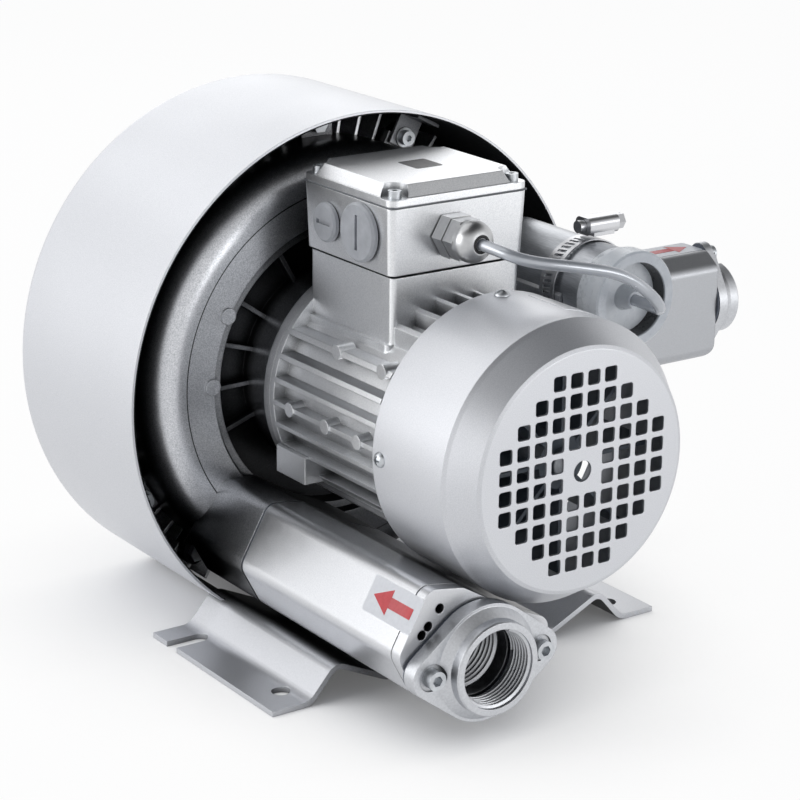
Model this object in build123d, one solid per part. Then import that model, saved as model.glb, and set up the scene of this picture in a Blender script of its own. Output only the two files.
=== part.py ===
from build123d import *
import math
import os

# Two-stage side channel blower. Millimetres, +Z up, +Y from the fan end to the stages.
# The origin lies midway between the two front foot holes, on the plane the feet stand on.

# ---- driving sizes ---------------------------------------------------------------
axis_height = 134.0
foot_hole_span = 218.0
foot_hole_pitch = 83.0
foot_hole_dia = 10.0

stage_front_y = 102.0        # flat ring on the front of the stage casting
shoulder_depth = 18.4        # rounding between that ring and the casting's side
skirt_length = 16.0          # how far the front casting reaches past its impeller
stage_pitch = 42.0           # from one impeller plane to the next
channel_radius = 98.0        # centre circle of the side channels
channel_bore = 19.0          # radius of a channel's round section
wall = 7.4                   # cast walls of the stages
spigot_wall = 1.0            # divider's spigot outside the channel
lug_rise = 7.0               # bolt circle outside the castings
lug_radius = 7.5
lug_thk = 7.0
fin_count = 63               # cooling fins round the middle casting
fin_turn = 0.86
stage_fin_thk = 1.8
impeller_clearance = 0.6
vane_count = 36

hood_gap = 22.6              # from the castings to the outside of the hood
hood_length = 127.0
hood_wall = 2.0
hood_corner = 4.0
hood_front_y = 83.5

motor_bore = 55.0
motor_skin = 3.5
fin_tip_radius = 66.0
fin_pitch = 12.5
fin_thk = 2.8
motor_length = 104.0
motor_rear_y = 78.0
shield_thk = 6.0
shaft_radius = 10.0
small_shaft_radius = 7.5

cowl_radius = 74.0
cowl_depth = 75.0
cowl_wall = 1.5
cowl_face_radius = 64.0
cowl_taper = 15.0
grille_pitch = 10.6
grille_hole = 7.7
spindle_hole = 11.0

box_width = 84.0
box_depth = 79.0
box_height = 35.0
box_bottom = 80.5            # above the motor axis
box_wall = 3.0
lid_height = 8.0
box_front_y = 0.0

port_thread_radius = 20.955  # G 1 1/4 major radius
outlet_thread_radius = 16.6245  # G 1 major radius
inlet_x = -52.0
inlet_drop = 92.0            # below the motor axis
port_length = 18.0
port_face_y = -110.0
silencer_seam_y = 55.0
silencer_wall = 3.0
gasket_thk = 1.5
port_bolt_offset = 33.3

can_radius = 24.0
can_length = 104.0
can_x = 90.0
can_rise = 57.0              # above the motor axis
can_face_y = -36.0
cap_radius = 26.4
cap_recess = 9.0
cap_floor = 6.0
band_width = 12.0
band_y = 6.0

outlet_left_x = 121.0
outlet_length = 63.0
outlet_depth = 36.0
outlet_height = 60.0
outlet_front_y = 4.0
outlet_wall = 3.0
outlet_corner = 9.0

sheet = 3.0
crest_x = 87.0
crest_height = 21.0
trough_height = 6.0
foot_edge_x = 126.0
bracket_front_y = -19.0
bracket_rear_y = 103.0

seat = 0.05                  # gap of a seated joint
slack = 0.3                  # gap of a loose joint

# ---- places worked out from them ---------------------------------------------------
channel_depth = channel_bore + 5.0
joint_1 = stage_front_y + channel_depth
joint_2 = joint_1 + stage_pitch
stage_joints = (joint_1, joint_2)
web_half = 5.4
disc_gap = web_half + impeller_clearance
cavity_edge = channel_radius - math.sqrt(channel_bore ** 2 - disc_gap ** 2)
body_radius = channel_radius + channel_bore + wall
recess_radius = cavity_edge + 4.0
cover_rear_y = joint_2 + channel_depth
skirt_y = joint_1 + skirt_length
spigot_radius = channel_radius + channel_bore + spigot_wall
lug_circle = body_radius + lug_rise
hood_radius = body_radius + hood_gap
motor_front_y = motor_rear_y - motor_length
shield_rear_y = motor_rear_y + shield_thk
cowl_front_y = motor_front_y - 5.0 - cowl_depth
cowl_rear_y = cowl_front_y + cowl_depth
hood_rear_y = hood_front_y + hood_length
inlet_z = axis_height - inlet_drop
can_z = axis_height + can_rise
port_plate_y = port_face_y + port_length
silencer_front_y = port_plate_y + gasket_thk
box_z = axis_height + box_bottom
outlet_top = axis_height + outlet_height
outlet_right_x = outlet_left_x + outlet_length


# ---- helpers -----------------------------------------------------------------------
def save(name, solid):
    """Write one piece, or one group of equal pieces, as a STEP file."""
    solid.label = name
    export_step(solid, f"parts/{name}.step")


def bar_y(sketch, y0, y1, x=0.0, z=0.0):
    """Prism along Y from a sketch drawn in X and Z."""
    return Pos(x, 0, z) * extrude(Plane.XZ.offset(-y0) * sketch, amount=-(y1 - y0))


def bar_x(sketch, x0, x1, y=0.0, z=0.0):
    """Prism along X from a sketch drawn in Y and Z."""
    return Pos(0, y, z) * extrude(Plane.YZ.offset(x0) * sketch, amount=x1 - x0)


def bar_z(sketch, z0, z1, x=0.0, y=0.0):
    """Prism along Z from a sketch drawn in X and Y."""
    return Pos(x, y, 0) * extrude(Plane.XY.offset(z0) * sketch, amount=z1 - z0)


def tube_y(outer, inner, y0, y1, x=0.0, z=None):
    """Plain ring along Y, by default about the motor axis."""
    z = axis_height if z is None else z
    ring = Circle(outer) - Circle(inner) if inner > 0 else Circle(outer)
    return bar_y(ring, y0, y1, x, z)


def turned(points):
    """Solid turned about the motor axis from (radius, y) corners."""
    face = make_face(Polyline(*points, close=True))
    return Pos(0, 0, axis_height) * revolve(face, Axis.Y, 360)


def turned_edges(*edges, arc=360.0):
    """Solid turned about the motor axis from lines and arcs in (radius, y)."""
    return Pos(0, 0, axis_height) * revolve(make_face(Wire(list(edges))), Axis.Y, arc)


def around(solid, angle):
    """Turn a solid about the motor axis; 0 is +X and 90 is up."""
    return Pos(0, 0, axis_height) * Rot(0, -angle, 0) * Pos(0, 0, -axis_height) * solid


def polar(radius, angle):
    """X and Z of a point at a radius and angle about the motor axis."""
    a = math.radians(angle)
    return radius * math.cos(a), axis_height + radius * math.sin(a)


def group(solids):
    """Several separate solids as one node."""
    return Compound(children=list(solids))


def rounded(points, radius):
    """Closed polygon with every corner rounded."""
    face = make_face(Polyline(*points, close=True))
    return fillet(face.vertices(), radius)


# ---- stages ------------------------------------------------------------------------
def channel_section(joint, side):
    """Half of a channel's section, with the slot that the impeller disc turns in."""
    step = side * disc_gap
    near = (cavity_edge, joint + step)
    far = (channel_radius + channel_bore, joint)
    mid = (channel_radius, joint + side * channel_bore)
    return near, mid, far


def stage_cavity(joint, side, hub):
    """What is cut from a casting on one side of a joint plane."""
    near, mid, far = channel_section(joint, side)
    back = joint - side * 0.5
    return turned_edges(
        Line((hub, near[1]), near),
        ThreePointArc(near, mid, far),
        Line(far, (far[0], back)),
        Line((far[0], back), (hub, back)),
        Line((hub, back), (hub, near[1])),
    )


def stripper(joint, side, middle, width):
    """Block that closes a channel around the vanes between its ports."""
    near, mid, far = channel_section(joint, side)
    block = Pos(0, 0, axis_height) * Rot(0, -(middle - width / 2), 0) * revolve(
        make_face(Wire([
            Line((near[0], joint), near),
            ThreePointArc(near, mid, far),
            Line(far, (near[0], joint)),
        ])), Axis.Y, -width)
    return block - vane_sweep(joint, impeller_clearance)


def vane_outline(joint, grow=0.0):
    """Outline of one vane in (radius, y), wider by grow."""
    inner = cavity_edge
    tip = channel_radius + 4.0 + grow
    half = 11.0 + grow
    low = web_half + grow * 0.4
    return [
        (inner, joint - low), (inner + 4, joint - half + 2.5), (inner + 8, joint - half + 0.5),
        (inner + 12, joint - half), (tip - 8, joint - half + 1), (tip - 2, joint - half / 2),
        (tip, joint), (tip - 2, joint + half / 2), (tip - 8, joint + half - 1),
        (inner + 12, joint + half), (inner + 8, joint + half - 0.5),
        (inner + 4, joint + half - 2.5), (inner, joint + low),
    ]


def vane_sweep(joint, grow):
    """Space that the vanes sweep, wider by grow."""
    return turned(vane_outline(joint, grow))


def motor_side_housing():
    """Front casting: neck, recess, flat ring, rounded shoulder, skirt and inlet stub."""
    floor = joint_1 - disc_gap - 5.0
    neck = motor_bore + 5.0
    shoulder = stage_front_y + shoulder_depth
    ring_edge = body_radius - shoulder_depth
    body = turned_edges(
        Line((shaft_radius + 9, joint_1), (shaft_radius + 9, floor)),
        Line((shaft_radius + 9, floor), (motor_bore, floor)),
        Line((motor_bore, floor), (motor_bore, shield_rear_y + seat)),
        Line((motor_bore, shield_rear_y + seat), (neck + 1, shield_rear_y + seat)),
        Line((neck + 1, shield_rear_y + seat), (neck + 1, shield_rear_y + 6)),
        Line((neck + 1, shield_rear_y + 6), (neck, floor)),
        Line((neck, floor), (recess_radius - 5, floor)),
        Line((recess_radius - 5, floor), (recess_radius - 4, stage_front_y + 4)),
        Line((recess_radius - 4, stage_front_y + 4), (recess_radius, stage_front_y + 4)),
        Line((recess_radius, stage_front_y + 4), (recess_radius + 2, stage_front_y)),
        Line((recess_radius + 2, stage_front_y), (ring_edge, stage_front_y)),
        ThreePointArc((ring_edge, stage_front_y),
                      (ring_edge + shoulder_depth * math.sin(math.radians(45)),
                       shoulder - shoulder_depth * math.cos(math.radians(45))),
                      (body_radius, shoulder)),
        Line((body_radius, shoulder), (body_radius, skirt_y)),
        Line((body_radius, skirt_y), (spigot_radius, skirt_y)),
        Line((spigot_radius, skirt_y), (spigot_radius, joint_1)),
        Line((spigot_radius, joint_1), (shaft_radius + 9, joint_1)),
    )
    stub_front = silencer_seam_y + gasket_thk
    stub = bar_y(silencer_outline(0), stub_front, stage_front_y + 8, inlet_x, inlet_z)
    stub -= tube_y(neck + 14, 0, stub_front - 1, stage_front_y - 4)
    body += stub
    for side in (-1, 1):
        body += casting_foot(side)
        body -= bar_z(Circle(2.6), 0, trough_height + 9, side * base_screw_x(), base_screw_y())
    body += lugs(skirt_y - lug_thk, skirt_y, bolt_angles() + tab_angles())
    body -= tube_y(spigot_radius, 0, joint_1, skirt_y + 1)
    body -= stage_cavity(joint_1, -1, shaft_radius + 9)
    bore = bar_y(silencer_outline(-silencer_wall - 1), stub_front - 1, stage_front_y - 6,
                 inlet_x, inlet_z)
    body -= bore - tube_y(neck + 18, 0, stub_front - 2, stage_front_y)
    px, pz = polar(channel_radius, 239)
    body -= tube_y(13, 0, stage_front_y - 10, joint_1 - 10, px, pz)
    ox, oz = polar(channel_radius + 2, 7)
    body -= tube_y(13, 0, stage_front_y - 1, joint_1 - 10, ox, oz)
    for angle in (35, 60, 120, 145, 163, 181, 199, 320, 345):
        rib = Pos((neck + recess_radius - 4) / 2, (floor + stage_front_y) / 2 + 4,
                  axis_height) * Box(recess_radius - neck - 3, floor - stage_front_y - 6, 2.4)
        body += around(rib, angle)
    for angle in (28, 78, 102, 152, 178, 330):
        x, z = polar(recess_radius + 3.5, angle)
        body += tube_y(4.5, 0, stage_front_y - 1.5, stage_front_y + 4, x, z)
    body += stripper(joint_1, -1, 262, 22)
    return drill_lugs(body, skirt_y - lug_thk, skirt_y)


def casting_foot(side):
    """Foot under the front casting, on the base's trough, tapped for one screw."""
    x = side * base_screw_x()
    y0 = bracket_rear_y - 22
    y1 = skirt_y - 2
    low = trough_height + seat
    foot = Pos(x, (y0 + y1) / 2, low + 5) * Box(24, y1 - y0, 10)
    web = Pos(x, (stage_front_y + y1) / 2 + 1, low + 20) * Box(8, y1 - stage_front_y, 34)
    return foot + web


def lugs(y0, y1, angles):
    """Ears round a casting that take the long bolts or the hood's tabs."""
    ears = []
    for angle in angles:
        x, z = polar(lug_circle, angle)
        ear = tube_y(lug_radius, 0, y0, y1, x, z)
        web = Pos(body_radius - 2 + lug_rise / 2, (y0 + y1) / 2, axis_height) * Box(
            lug_rise + 4, y1 - y0, 2 * lug_radius + 5)
        web -= Pos(lug_circle + 3, (y0 + y1) / 2, axis_height) * Box(6, 2 * (y1 - y0), 40)
        ears.append(ear + around(web, angle))
    return ears


def drill_lugs(body, y0, y1):
    """Bolt holes through the ears."""
    for angle in bolt_angles():
        x, z = polar(lug_circle, angle)
        body -= tube_y(3.3, 0, y0 - 6, y1 + 6, x, z)
    return body


def bolt_angles():
    """Long bolts round the castings, in the gaps between the cooling fins."""
    step = 360.0 / fin_count
    return tuple((index + 0.5) * step + fin_turn for index in (3, 7, 15, 20, 25, 30, 40, 54, 59))


def tab_angles():
    """Where the hood is held to the front casting."""
    return (63.5, 210.0, 330.0)


def stage_divider():
    """Middle casting with a half channel on each side and cooling fins around it."""
    bore = shaft_radius + 5
    spigot = spigot_radius - seat
    front = skirt_y + seat
    core = body_radius - 3
    body = turned([
        (bore, joint_1), (spigot, joint_1), (spigot, front), (core, front),
        (core, joint_2), (bore, joint_2),
    ])
    tip = hood_radius - hood_wall - 2.0
    fin = Pos((core + tip) / 2 - 1, (front + joint_2) / 2, axis_height) * Box(
        tip - core + 2, joint_2 - front, stage_fin_thk)
    for index in range(fin_count):
        body += around(fin, index * 360.0 / fin_count + fin_turn)
    body += lugs(front, joint_2, bolt_angles())
    body -= Pos(0, (front + joint_2) / 2, trough_height - 50) * Box(
        2 * hood_radius, 2 * stage_pitch, 100)
    body -= stage_cavity(joint_1, 1, bore)
    body -= stage_cavity(joint_2, -1, bore)
    middle = (joint_1 + joint_2) / 2
    for side in (-1, 1):
        near = middle + side * 4
        far = middle + side * (stage_pitch / 2 - disc_gap + 1)
        body -= tube_y(cavity_edge - 10, bore + 12, min(near, far), max(near, far))
    body += stripper(joint_1, 1, 262, 22)
    body += stripper(joint_2, -1, 20, 18)
    x, z = polar(channel_radius, 290)
    body -= tube_y(11, 0, joint_1 + 10, joint_2 - 10, x, z)
    return drill_lugs(body, front, joint_2)


def housing_cover():
    """Rear casting with the last half channel and radial cooling fins."""
    floor = joint_2 + disc_gap + 5.0
    rear = joint_2 + seat
    shoulder = cover_rear_y - shoulder_depth
    ring_edge = body_radius - shoulder_depth
    body = turned_edges(
        Line((0, rear), (body_radius, rear)),
        Line((body_radius, rear), (body_radius, shoulder)),
        ThreePointArc((body_radius, shoulder),
                      (ring_edge + shoulder_depth * math.sin(math.radians(45)),
                       shoulder + shoulder_depth * math.cos(math.radians(45))),
                      (ring_edge, cover_rear_y)),
        Line((ring_edge, cover_rear_y), (recess_radius + 3, cover_rear_y)),
        Line((recess_radius + 3, cover_rear_y), (recess_radius, floor)),
        Line((recess_radius, floor), (32, floor)),
        Line((32, floor), (29, floor + 11)),
        Line((29, floor + 11), (0, floor + 11)),
        Line((0, floor + 11), (0, rear)),
    )
    body += lugs(rear, joint_2 + lug_thk, bolt_angles())
    body -= stage_cavity(joint_2, 1, 0.001)
    body -= tube_y(24, 0, joint_2, floor + 6)
    body += stripper(joint_2, 1, 20, 18)
    rib = Pos((27 + recess_radius) / 2 + 1, (floor + cover_rear_y) / 2 - 1, axis_height) * Box(
        recess_radius - 24, cover_rear_y - floor + 2, 2.4)
    for index in range(12):
        body += around(rib, index * 30.0 + 15.0)
    return drill_lugs(body, joint_2, joint_2 + lug_thk)


def impeller(joint):
    """Turned disc with hub and rim, and straight vanes around it."""
    hub = 22.0
    rim = channel_radius - channel_bore - 2.0
    bore = shaft_radius
    disc = turned([
        (bore, joint - web_half), (hub, joint - web_half), (hub + 3, joint - 2.5),
        (rim - 8, joint - 2.5), (rim - 5, joint - web_half), (rim + 2, joint - web_half),
        (rim + 7, joint - 1.5), (channel_radius + 2, joint - 1.0),
        (channel_radius + 2, joint + 1.0), (rim + 7, joint + 1.5), (rim + 2, joint + web_half),
        (rim - 5, joint + web_half), (rim - 8, joint + 2.5), (hub + 3, joint + 2.5),
        (hub, joint + web_half), (bore, joint + web_half),
    ])
    vane_face = make_face(Polyline(*vane_outline(joint), close=True))
    vane = Pos(0, 0, axis_height - 1.1) * extrude(vane_face, amount=2.2)
    for index in range(vane_count):
        disc += around(vane, index * 360.0 / vane_count)
    key = Pos(0, joint, axis_height + shaft_radius) * Box(6 + 2 * seat, 30, 5.6)
    return disc - key


def shaft_keys():
    """One parallel key for each impeller."""
    keys = []
    for joint in stage_joints:
        keys.append(Pos(0, joint, axis_height + shaft_radius) * Box(6, 2 * web_half - 1, 5))
    return group(keys)


def impeller_spacer():
    """Sleeve that keeps the impellers apart."""
    y0 = joint_1 + web_half + seat
    y1 = joint_2 - web_half - seat
    return tube_y(shaft_radius + 4, shaft_radius + 0.02, y0, y1)


def impeller_nut():
    """Washer face and hexagon that hold the second impeller."""
    y0 = joint_2 + web_half + seat
    washer = tube_y(16, 6, y0, y0 + 2)
    return washer + bar_y(RegularPolygon(9, 6) - Circle(6), y0 + 2, y0 + 10, 0, axis_height)


# ---- rotor and bearings --------------------------------------------------------------
drive_bearing = dict(outer=23.5, bore=shaft_radius, width=14.0, y=shield_rear_y - 1 - 14.0)
fan_bearing = dict(outer=17.5, bore=small_shaft_radius, width=11.0, y=motor_front_y - 9.0)


def rotor_shaft():
    """Stepped shaft from the fan to the nut, with keyways under the impellers."""
    fan_tip = cowl_front_y + 13
    drive_face = drive_bearing["y"] - seat
    fan_face = fan_bearing["y"] + fan_bearing["width"] + seat
    end = joint_2 + web_half + 11
    body = turned([
        (0, fan_tip), (small_shaft_radius - 0.5, fan_tip),
        (small_shaft_radius, fan_tip + 0.5), (small_shaft_radius, fan_face),
        (small_shaft_radius + 3, fan_face), (small_shaft_radius + 3, fan_face + 8),
        (shaft_radius + 3, fan_face + 8), (shaft_radius + 3, drive_face),
        (shaft_radius, drive_face), (shaft_radius, joint_2 + web_half - 1),
        (6, joint_2 + web_half - 1), (6, end), (0, end),
    ])
    for joint in stage_joints:
        body -= Pos(0, joint, axis_height + shaft_radius) * Box(
            6 + 2 * seat, 2 * web_half - 1 + 2 * seat, 5 + 2 * seat)
    return body


def bearing_rings(size):
    """Outer ring, inner ring and ball set of a ball bearing."""
    y0 = size["y"]
    y1 = y0 + size["width"]
    middle = (y0 + y1) / 2
    depth = size["outer"] - size["bore"]
    pitch = size["bore"] + depth / 2
    ball = depth * 0.29
    groove = turned_groove(pitch, middle, ball + 0.05)
    outer = tube_y(size["outer"], size["outer"] - depth * 0.30, y0, y1) - groove
    inner = tube_y(size["bore"] + depth * 0.30, size["bore"], y0, y1) - groove
    count = 8
    balls = []
    for index in range(count):
        x, z = polar(pitch, index * 360.0 / count)
        balls.append(Pos(x, middle, z) * Sphere(ball))
    return outer, inner, group(balls)


def turned_groove(pitch, middle, radius):
    """Torus that the balls run in."""
    section = Pos(pitch, middle) * Circle(radius)
    return Pos(0, 0, axis_height) * revolve(section, Axis.Y, 360)


def rotor_core():
    """Lamination pack with its two short-circuit rings."""
    y0 = motor_front_y + 22
    y1 = motor_rear_y - 22
    core = tube_y(stator_bore() - 0.4, shaft_radius + 3, y0, y1)
    for start in (y0 - 8, y1):
        core += tube_y(stator_bore() - 4, stator_bore() - 14, start, start + 8)
    return core


def stator_bore():
    """Inner radius of the stator."""
    return motor_bore * 0.6


def stator_core():
    """Lamination ring pressed into the motor frame, with slots to the bore."""
    y0 = motor_front_y + 22
    y1 = motor_rear_y - 22
    core = tube_y(motor_bore - seat, stator_bore(), y0, y1)
    depth = motor_bore * 0.22
    slot = Pos(stator_bore() + depth / 2 + 1, (y0 + y1) / 2, axis_height) * Box(
        depth + 2.5, y1 - y0 + 2, 3.5)
    for index in range(24):
        core -= around(slot, index * 15.0)
    return core


def stator_windings():
    """Coil bars in the slots, joined by an end winding at each end."""
    y0 = motor_front_y + 22
    y1 = motor_rear_y - 22
    inner = stator_bore() + 1.5
    outer = stator_bore() + motor_bore * 0.22
    coils = tube_y(outer, inner, y0 - 13, y0 - 0.5) + tube_y(outer, inner, y1 + 0.5, y1 + 13)
    bar = Pos((inner + outer) / 2, (y0 + y1) / 2, axis_height) * Box(
        outer - inner - 1.0, y1 - y0 + 2, 3.1)
    for index in range(24):
        coils += around(bar, index * 15.0)
    return coils


# ---- motor ---------------------------------------------------------------------------
def motor_frame():
    """Finned frame with the terminal box pedestal, bosses and a foot pad."""
    skin = motor_bore + motor_skin
    y0 = motor_front_y
    y1 = motor_rear_y
    middle = (y0 + y1) / 2 + 2
    length = y1 - y0 - 8
    plates = []
    for index in range(-4, 4):
        level = axis_height - 1.5 + index * fin_pitch
        plates.append(Pos(0, middle, level) * Box(2 * fin_tip_radius, length, fin_thk))
    for index in range(-3, 4):
        plates.append(Pos(index * fin_pitch, middle, axis_height) * Box(
            fin_thk, length, 2 * fin_tip_radius))
    zone = tube_y(fin_tip_radius, skin - 1, y0, y1)
    frame = tube_y(skin, motor_bore, y0, y1)
    for plate in plates:
        frame += plate & zone
    frame += tube_y(fin_tip_radius, motor_bore, y1 - 4, y1)
    extras = pedestal(skin) + frame_bosses(skin)
    return frame + (extras - tube_y(motor_bore, 0, y0 - 1, y1 + 1))


def pedestal(skin):
    """Hollow neck that carries the terminal box."""
    half = box_width / 2 - 1.5
    y0 = box_front_y + 1.0
    y1 = y0 + box_depth - 2.5
    middle = (y0 + y1) / 2
    top = box_z - gasket_thk
    outer = bar_z(fillet(Rectangle(2 * half, y1 - y0).vertices(), 3), axis_height + 20, top,
                  0, middle)
    base = bar_z(fillet(Rectangle(2 * half + 5, y1 - y0 - 1).vertices(), 3),
                 axis_height + 20, axis_height + 44, 0, middle)
    inner = bar_z(fillet(Rectangle(2 * half - 8, y1 - y0 - 8).vertices(), 3),
                  axis_height + 10, top + 1, 0, middle)
    return outer + (base & tube_y(fin_tip_radius + 2, 0, y0, y1)) - inner


def frame_bosses(skin):
    """Round bosses on two side fins, and the pad of the unused foot."""
    pieces = None
    for level, stations in ((36.0, (29.0, -12.0)), (-1.5, (58.0, 24.0, -5.5))):
        reach = math.sqrt(fin_tip_radius ** 2 - level ** 2) + 0.8
        for side in (-1, 1):
            for y in stations if side < 0 or level < 0 else ():
                x0 = side * (reach - 10)
                rod = bar_x(Circle(4.0), min(x0, side * reach), max(x0, side * reach),
                            y, axis_height + level)
                pieces = rod if pieces is None else pieces + rod
    for side in (-1, 1):
        pieces += Pos(side * 54, motor_rear_y - 16, axis_height - 34) * Box(18, 28, 15)
    angle = math.degrees(math.atan2(can_rise, can_x))
    x, z = polar(fin_tip_radius - 4, angle)
    pad = Pos(x, band_y + 18, z) * Rot(0, -angle, 0) * Box(10, 20, 22)
    return pieces + pad


def drive_end_shield():
    """Drive-end bearing plate between the motor frame and the stage casting."""
    y = shield_rear_y
    seat_y = drive_bearing["y"]
    outer = drive_bearing["outer"]
    return turned([
        (outer + seat, y), (fin_tip_radius, y), (fin_tip_radius, motor_rear_y + seat),
        (motor_bore - seat, motor_rear_y + seat), (motor_bore - seat, motor_rear_y - 4),
        (motor_bore - 6, motor_rear_y - 4), (motor_bore - 6, motor_rear_y),
        (outer + 6, motor_rear_y), (outer + 5, seat_y - 3), (outer - 4, seat_y - 3),
        (outer - 4, seat_y - seat), (outer + seat, seat_y - seat),
    ])


def fan_end_shield():
    """Fan-end bearing plate, with four lugs that the cowl is screwed to."""
    y1 = motor_front_y - seat
    y0 = y1 - 7
    outer = fan_bearing["outer"]
    seat_y = fan_bearing["y"]
    rear = seat_y + fan_bearing["width"] + seat
    plate = turned([
        (outer + seat, y0), (motor_bore + motor_skin, y0), (motor_bore + motor_skin, y1),
        (motor_bore - seat, y1), (motor_bore - seat, y1 + 4), (motor_bore - 6, y1 + 4),
        (motor_bore - 6, y1), (outer + 6, y1), (outer + 5, rear + 3), (outer - 4, rear + 3),
        (outer - 4, rear), (outer + seat, rear),
    ])
    tip = cowl_radius - cowl_wall - 0.02
    inner = cowl_face_radius - 2.5
    lug = Pos((inner + tip) / 2 + 1, cowl_screw_y() + 1, axis_height) * Box(
        tip - inner + 2, 12, 12)
    bridge = Pos((motor_bore + inner) / 2 + 1, (y0 + y1) / 2, axis_height) * Box(
        inner - motor_bore + 4, y1 - y0, 12)
    lug = (lug + bridge) & tube_y(tip, 0, cowl_front_y, y1)
    for angle in (0, 90, 180, 270):
        plate += around(lug, angle)
        plate -= around(bar_x(Circle(2.1), tip - 9, tip + 1, cowl_screw_y(), axis_height), angle)
    return plate


def cowl_screw_y():
    """Line of the cowl screws."""
    return cowl_rear_y - 6.5


def grille_cells():
    """Centres of the square holes: ten columns, cut to an octagon, four left out."""
    cells = []
    for column, count in enumerate((4, 6, 8, 10, 10, 10, 10, 8, 6, 4)):
        for row in range(count):
            x = (column - 4.5) * grille_pitch
            z = (row - (count - 1) / 2) * grille_pitch
            if max(abs(x), abs(z)) > grille_pitch:
                cells.append((x, z))
    return cells


def fan_cowl():
    """Pressed steel cowl: cylinder, taper, flat face with a grille of square holes."""
    face = cowl_front_y
    shape = turned([
        (0, face), (cowl_face_radius - 2, face), (cowl_face_radius, face + 1.0),
        (cowl_radius - 1.5, face + cowl_taper), (cowl_radius, face + cowl_taper + 2),
        (cowl_radius, cowl_rear_y), (cowl_radius - cowl_wall, cowl_rear_y),
        (cowl_radius - cowl_wall, face + cowl_taper + 2.5),
        (cowl_radius - cowl_wall - 1.5, face + cowl_taper + 0.5),
        (cowl_face_radius - 1.5, face + 2.5), (cowl_face_radius - 3, face + cowl_wall),
        (0, face + cowl_wall),
    ])
    hole = fillet(Rectangle(grille_hole, grille_hole).vertices(), 1.5)
    holes = Sketch() + [Pos(x, z) * hole for x, z in grille_cells()]
    holes += Circle(spindle_hole / 2)
    shape -= bar_y(holes, face - 1, face + cowl_wall + 1, 0, axis_height)
    for angle in (0, 90, 180, 270):
        shape -= around(bar_x(Circle(2.2), cowl_radius - 4, cowl_radius + 2, cowl_screw_y(),
                              axis_height), angle)
    return shape


def cowl_screws():
    """Four pan head screws through the cowl into the shield."""
    screw = bar_x(Circle(2.0), cowl_radius - 8, cowl_radius + 0.5, cowl_screw_y(), axis_height)
    head = bar_x(Circle(4.2), cowl_radius + 0.02, cowl_radius + 2.6, cowl_screw_y(), axis_height)
    head = chamfer(head.faces().sort_by(Axis.X)[-1].edges(), 0.9)
    one = screw + head
    return group([around(one, angle) for angle in (0, 90, 180, 270)])


def cooling_fan():
    """Radial fan: hub, back plate and straight blades."""
    y0 = cowl_front_y + 16
    y1 = fan_bearing["y"] - 5
    tip = cowl_face_radius - 5
    fan = tube_y(14, small_shaft_radius, y0 + 1, y1)
    fan += tube_y(tip - 6, small_shaft_radius, y1 - 2, y1)
    blade = Pos((13 + tip) / 2, (y0 + y1) / 2, axis_height) * Box(tip - 13, y1 - y0 - 1, 2)
    for index in range(8):
        fan += around(blade, index * 45.0)
    return fan


# ---- terminal box ---------------------------------------------------------------------
def box_shell(half_x, half_y, z0, z1, draft):
    """Tapered rounded block, wider at the top."""
    low = Plane.XY.offset(z0) * fillet(Rectangle(2 * half_x, 2 * half_y).vertices(), 4)
    high = Plane.XY.offset(z1) * fillet(
        Rectangle(2 * (half_x + draft), 2 * (half_y + draft)).vertices(), 4)
    return loft([low, high])


def terminal_box_base():
    """Cast box with blanking holes on the left and a gland hole in front."""
    half_x = box_width / 2
    half_y = box_depth / 2
    middle = box_front_y + half_y
    top = box_z + box_height
    base = Pos(0, middle, 0) * (
        box_shell(half_x, half_y, box_z, top, 1.2)
        - box_shell(half_x - box_wall, half_y - box_wall, box_z + box_wall, top + 1, 1.0))
    for sx in (-1, 1):
        for sy in (-1, 1):
            post = bar_z(Circle(4.5), box_z + 1, top, sx * (half_x - 5), middle + sy * (half_y - 5))
            base += post
    base -= bar_z(Rectangle(box_width - 24, box_depth - 24), box_z - 1, box_z + 5, 0, middle)
    for y, z, radius in plug_places():
        base -= bar_x(Circle(radius * 0.8), -half_x - 4, -half_x + 6, y, z)
    x, z = gland_place()
    base -= tube_y(8.2, 0, box_front_y - 4, box_front_y + 6, x, z)
    for sx, sy in lid_corners():
        base -= bar_z(Circle(1.8), top - 9, top + 1, sx, sy)
    return base


def lid_corners():
    """Centres of the four lid screws."""
    half_x = box_width / 2 - 5
    half_y = box_depth / 2 - 5
    middle = box_front_y + box_depth / 2
    return [(sx * half_x, middle + sy * half_y) for sx in (-1, 1) for sy in (-1, 1)]


def plug_places():
    """Y, Z and head radius of the two blanking plugs."""
    return ((box_front_y + 25.5, box_z + box_height * 0.53, 15.5),
            (box_front_y + 56.0, box_z + box_height * 0.50, 10.5))


def gland_place():
    """X and Z of the cable gland."""
    return -6.0, box_z + box_height * 0.52


def lid_gasket():
    """Flat gasket between box and lid."""
    half_x = box_width / 2 + 0.8
    half_y = box_depth / 2 + 0.8
    z0 = box_z + box_height + seat
    ring = Rectangle(2 * half_x, 2 * half_y) - Rectangle(2 * half_x - 9, 2 * half_y - 9)
    gasket = bar_z(ring, z0, z0 + 1.0, 0, box_front_y + box_depth / 2)
    for x, y in lid_corners():
        gasket -= bar_z(Circle(2.2), z0 - 1, z0 + 2, x, y)
    return gasket


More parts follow.
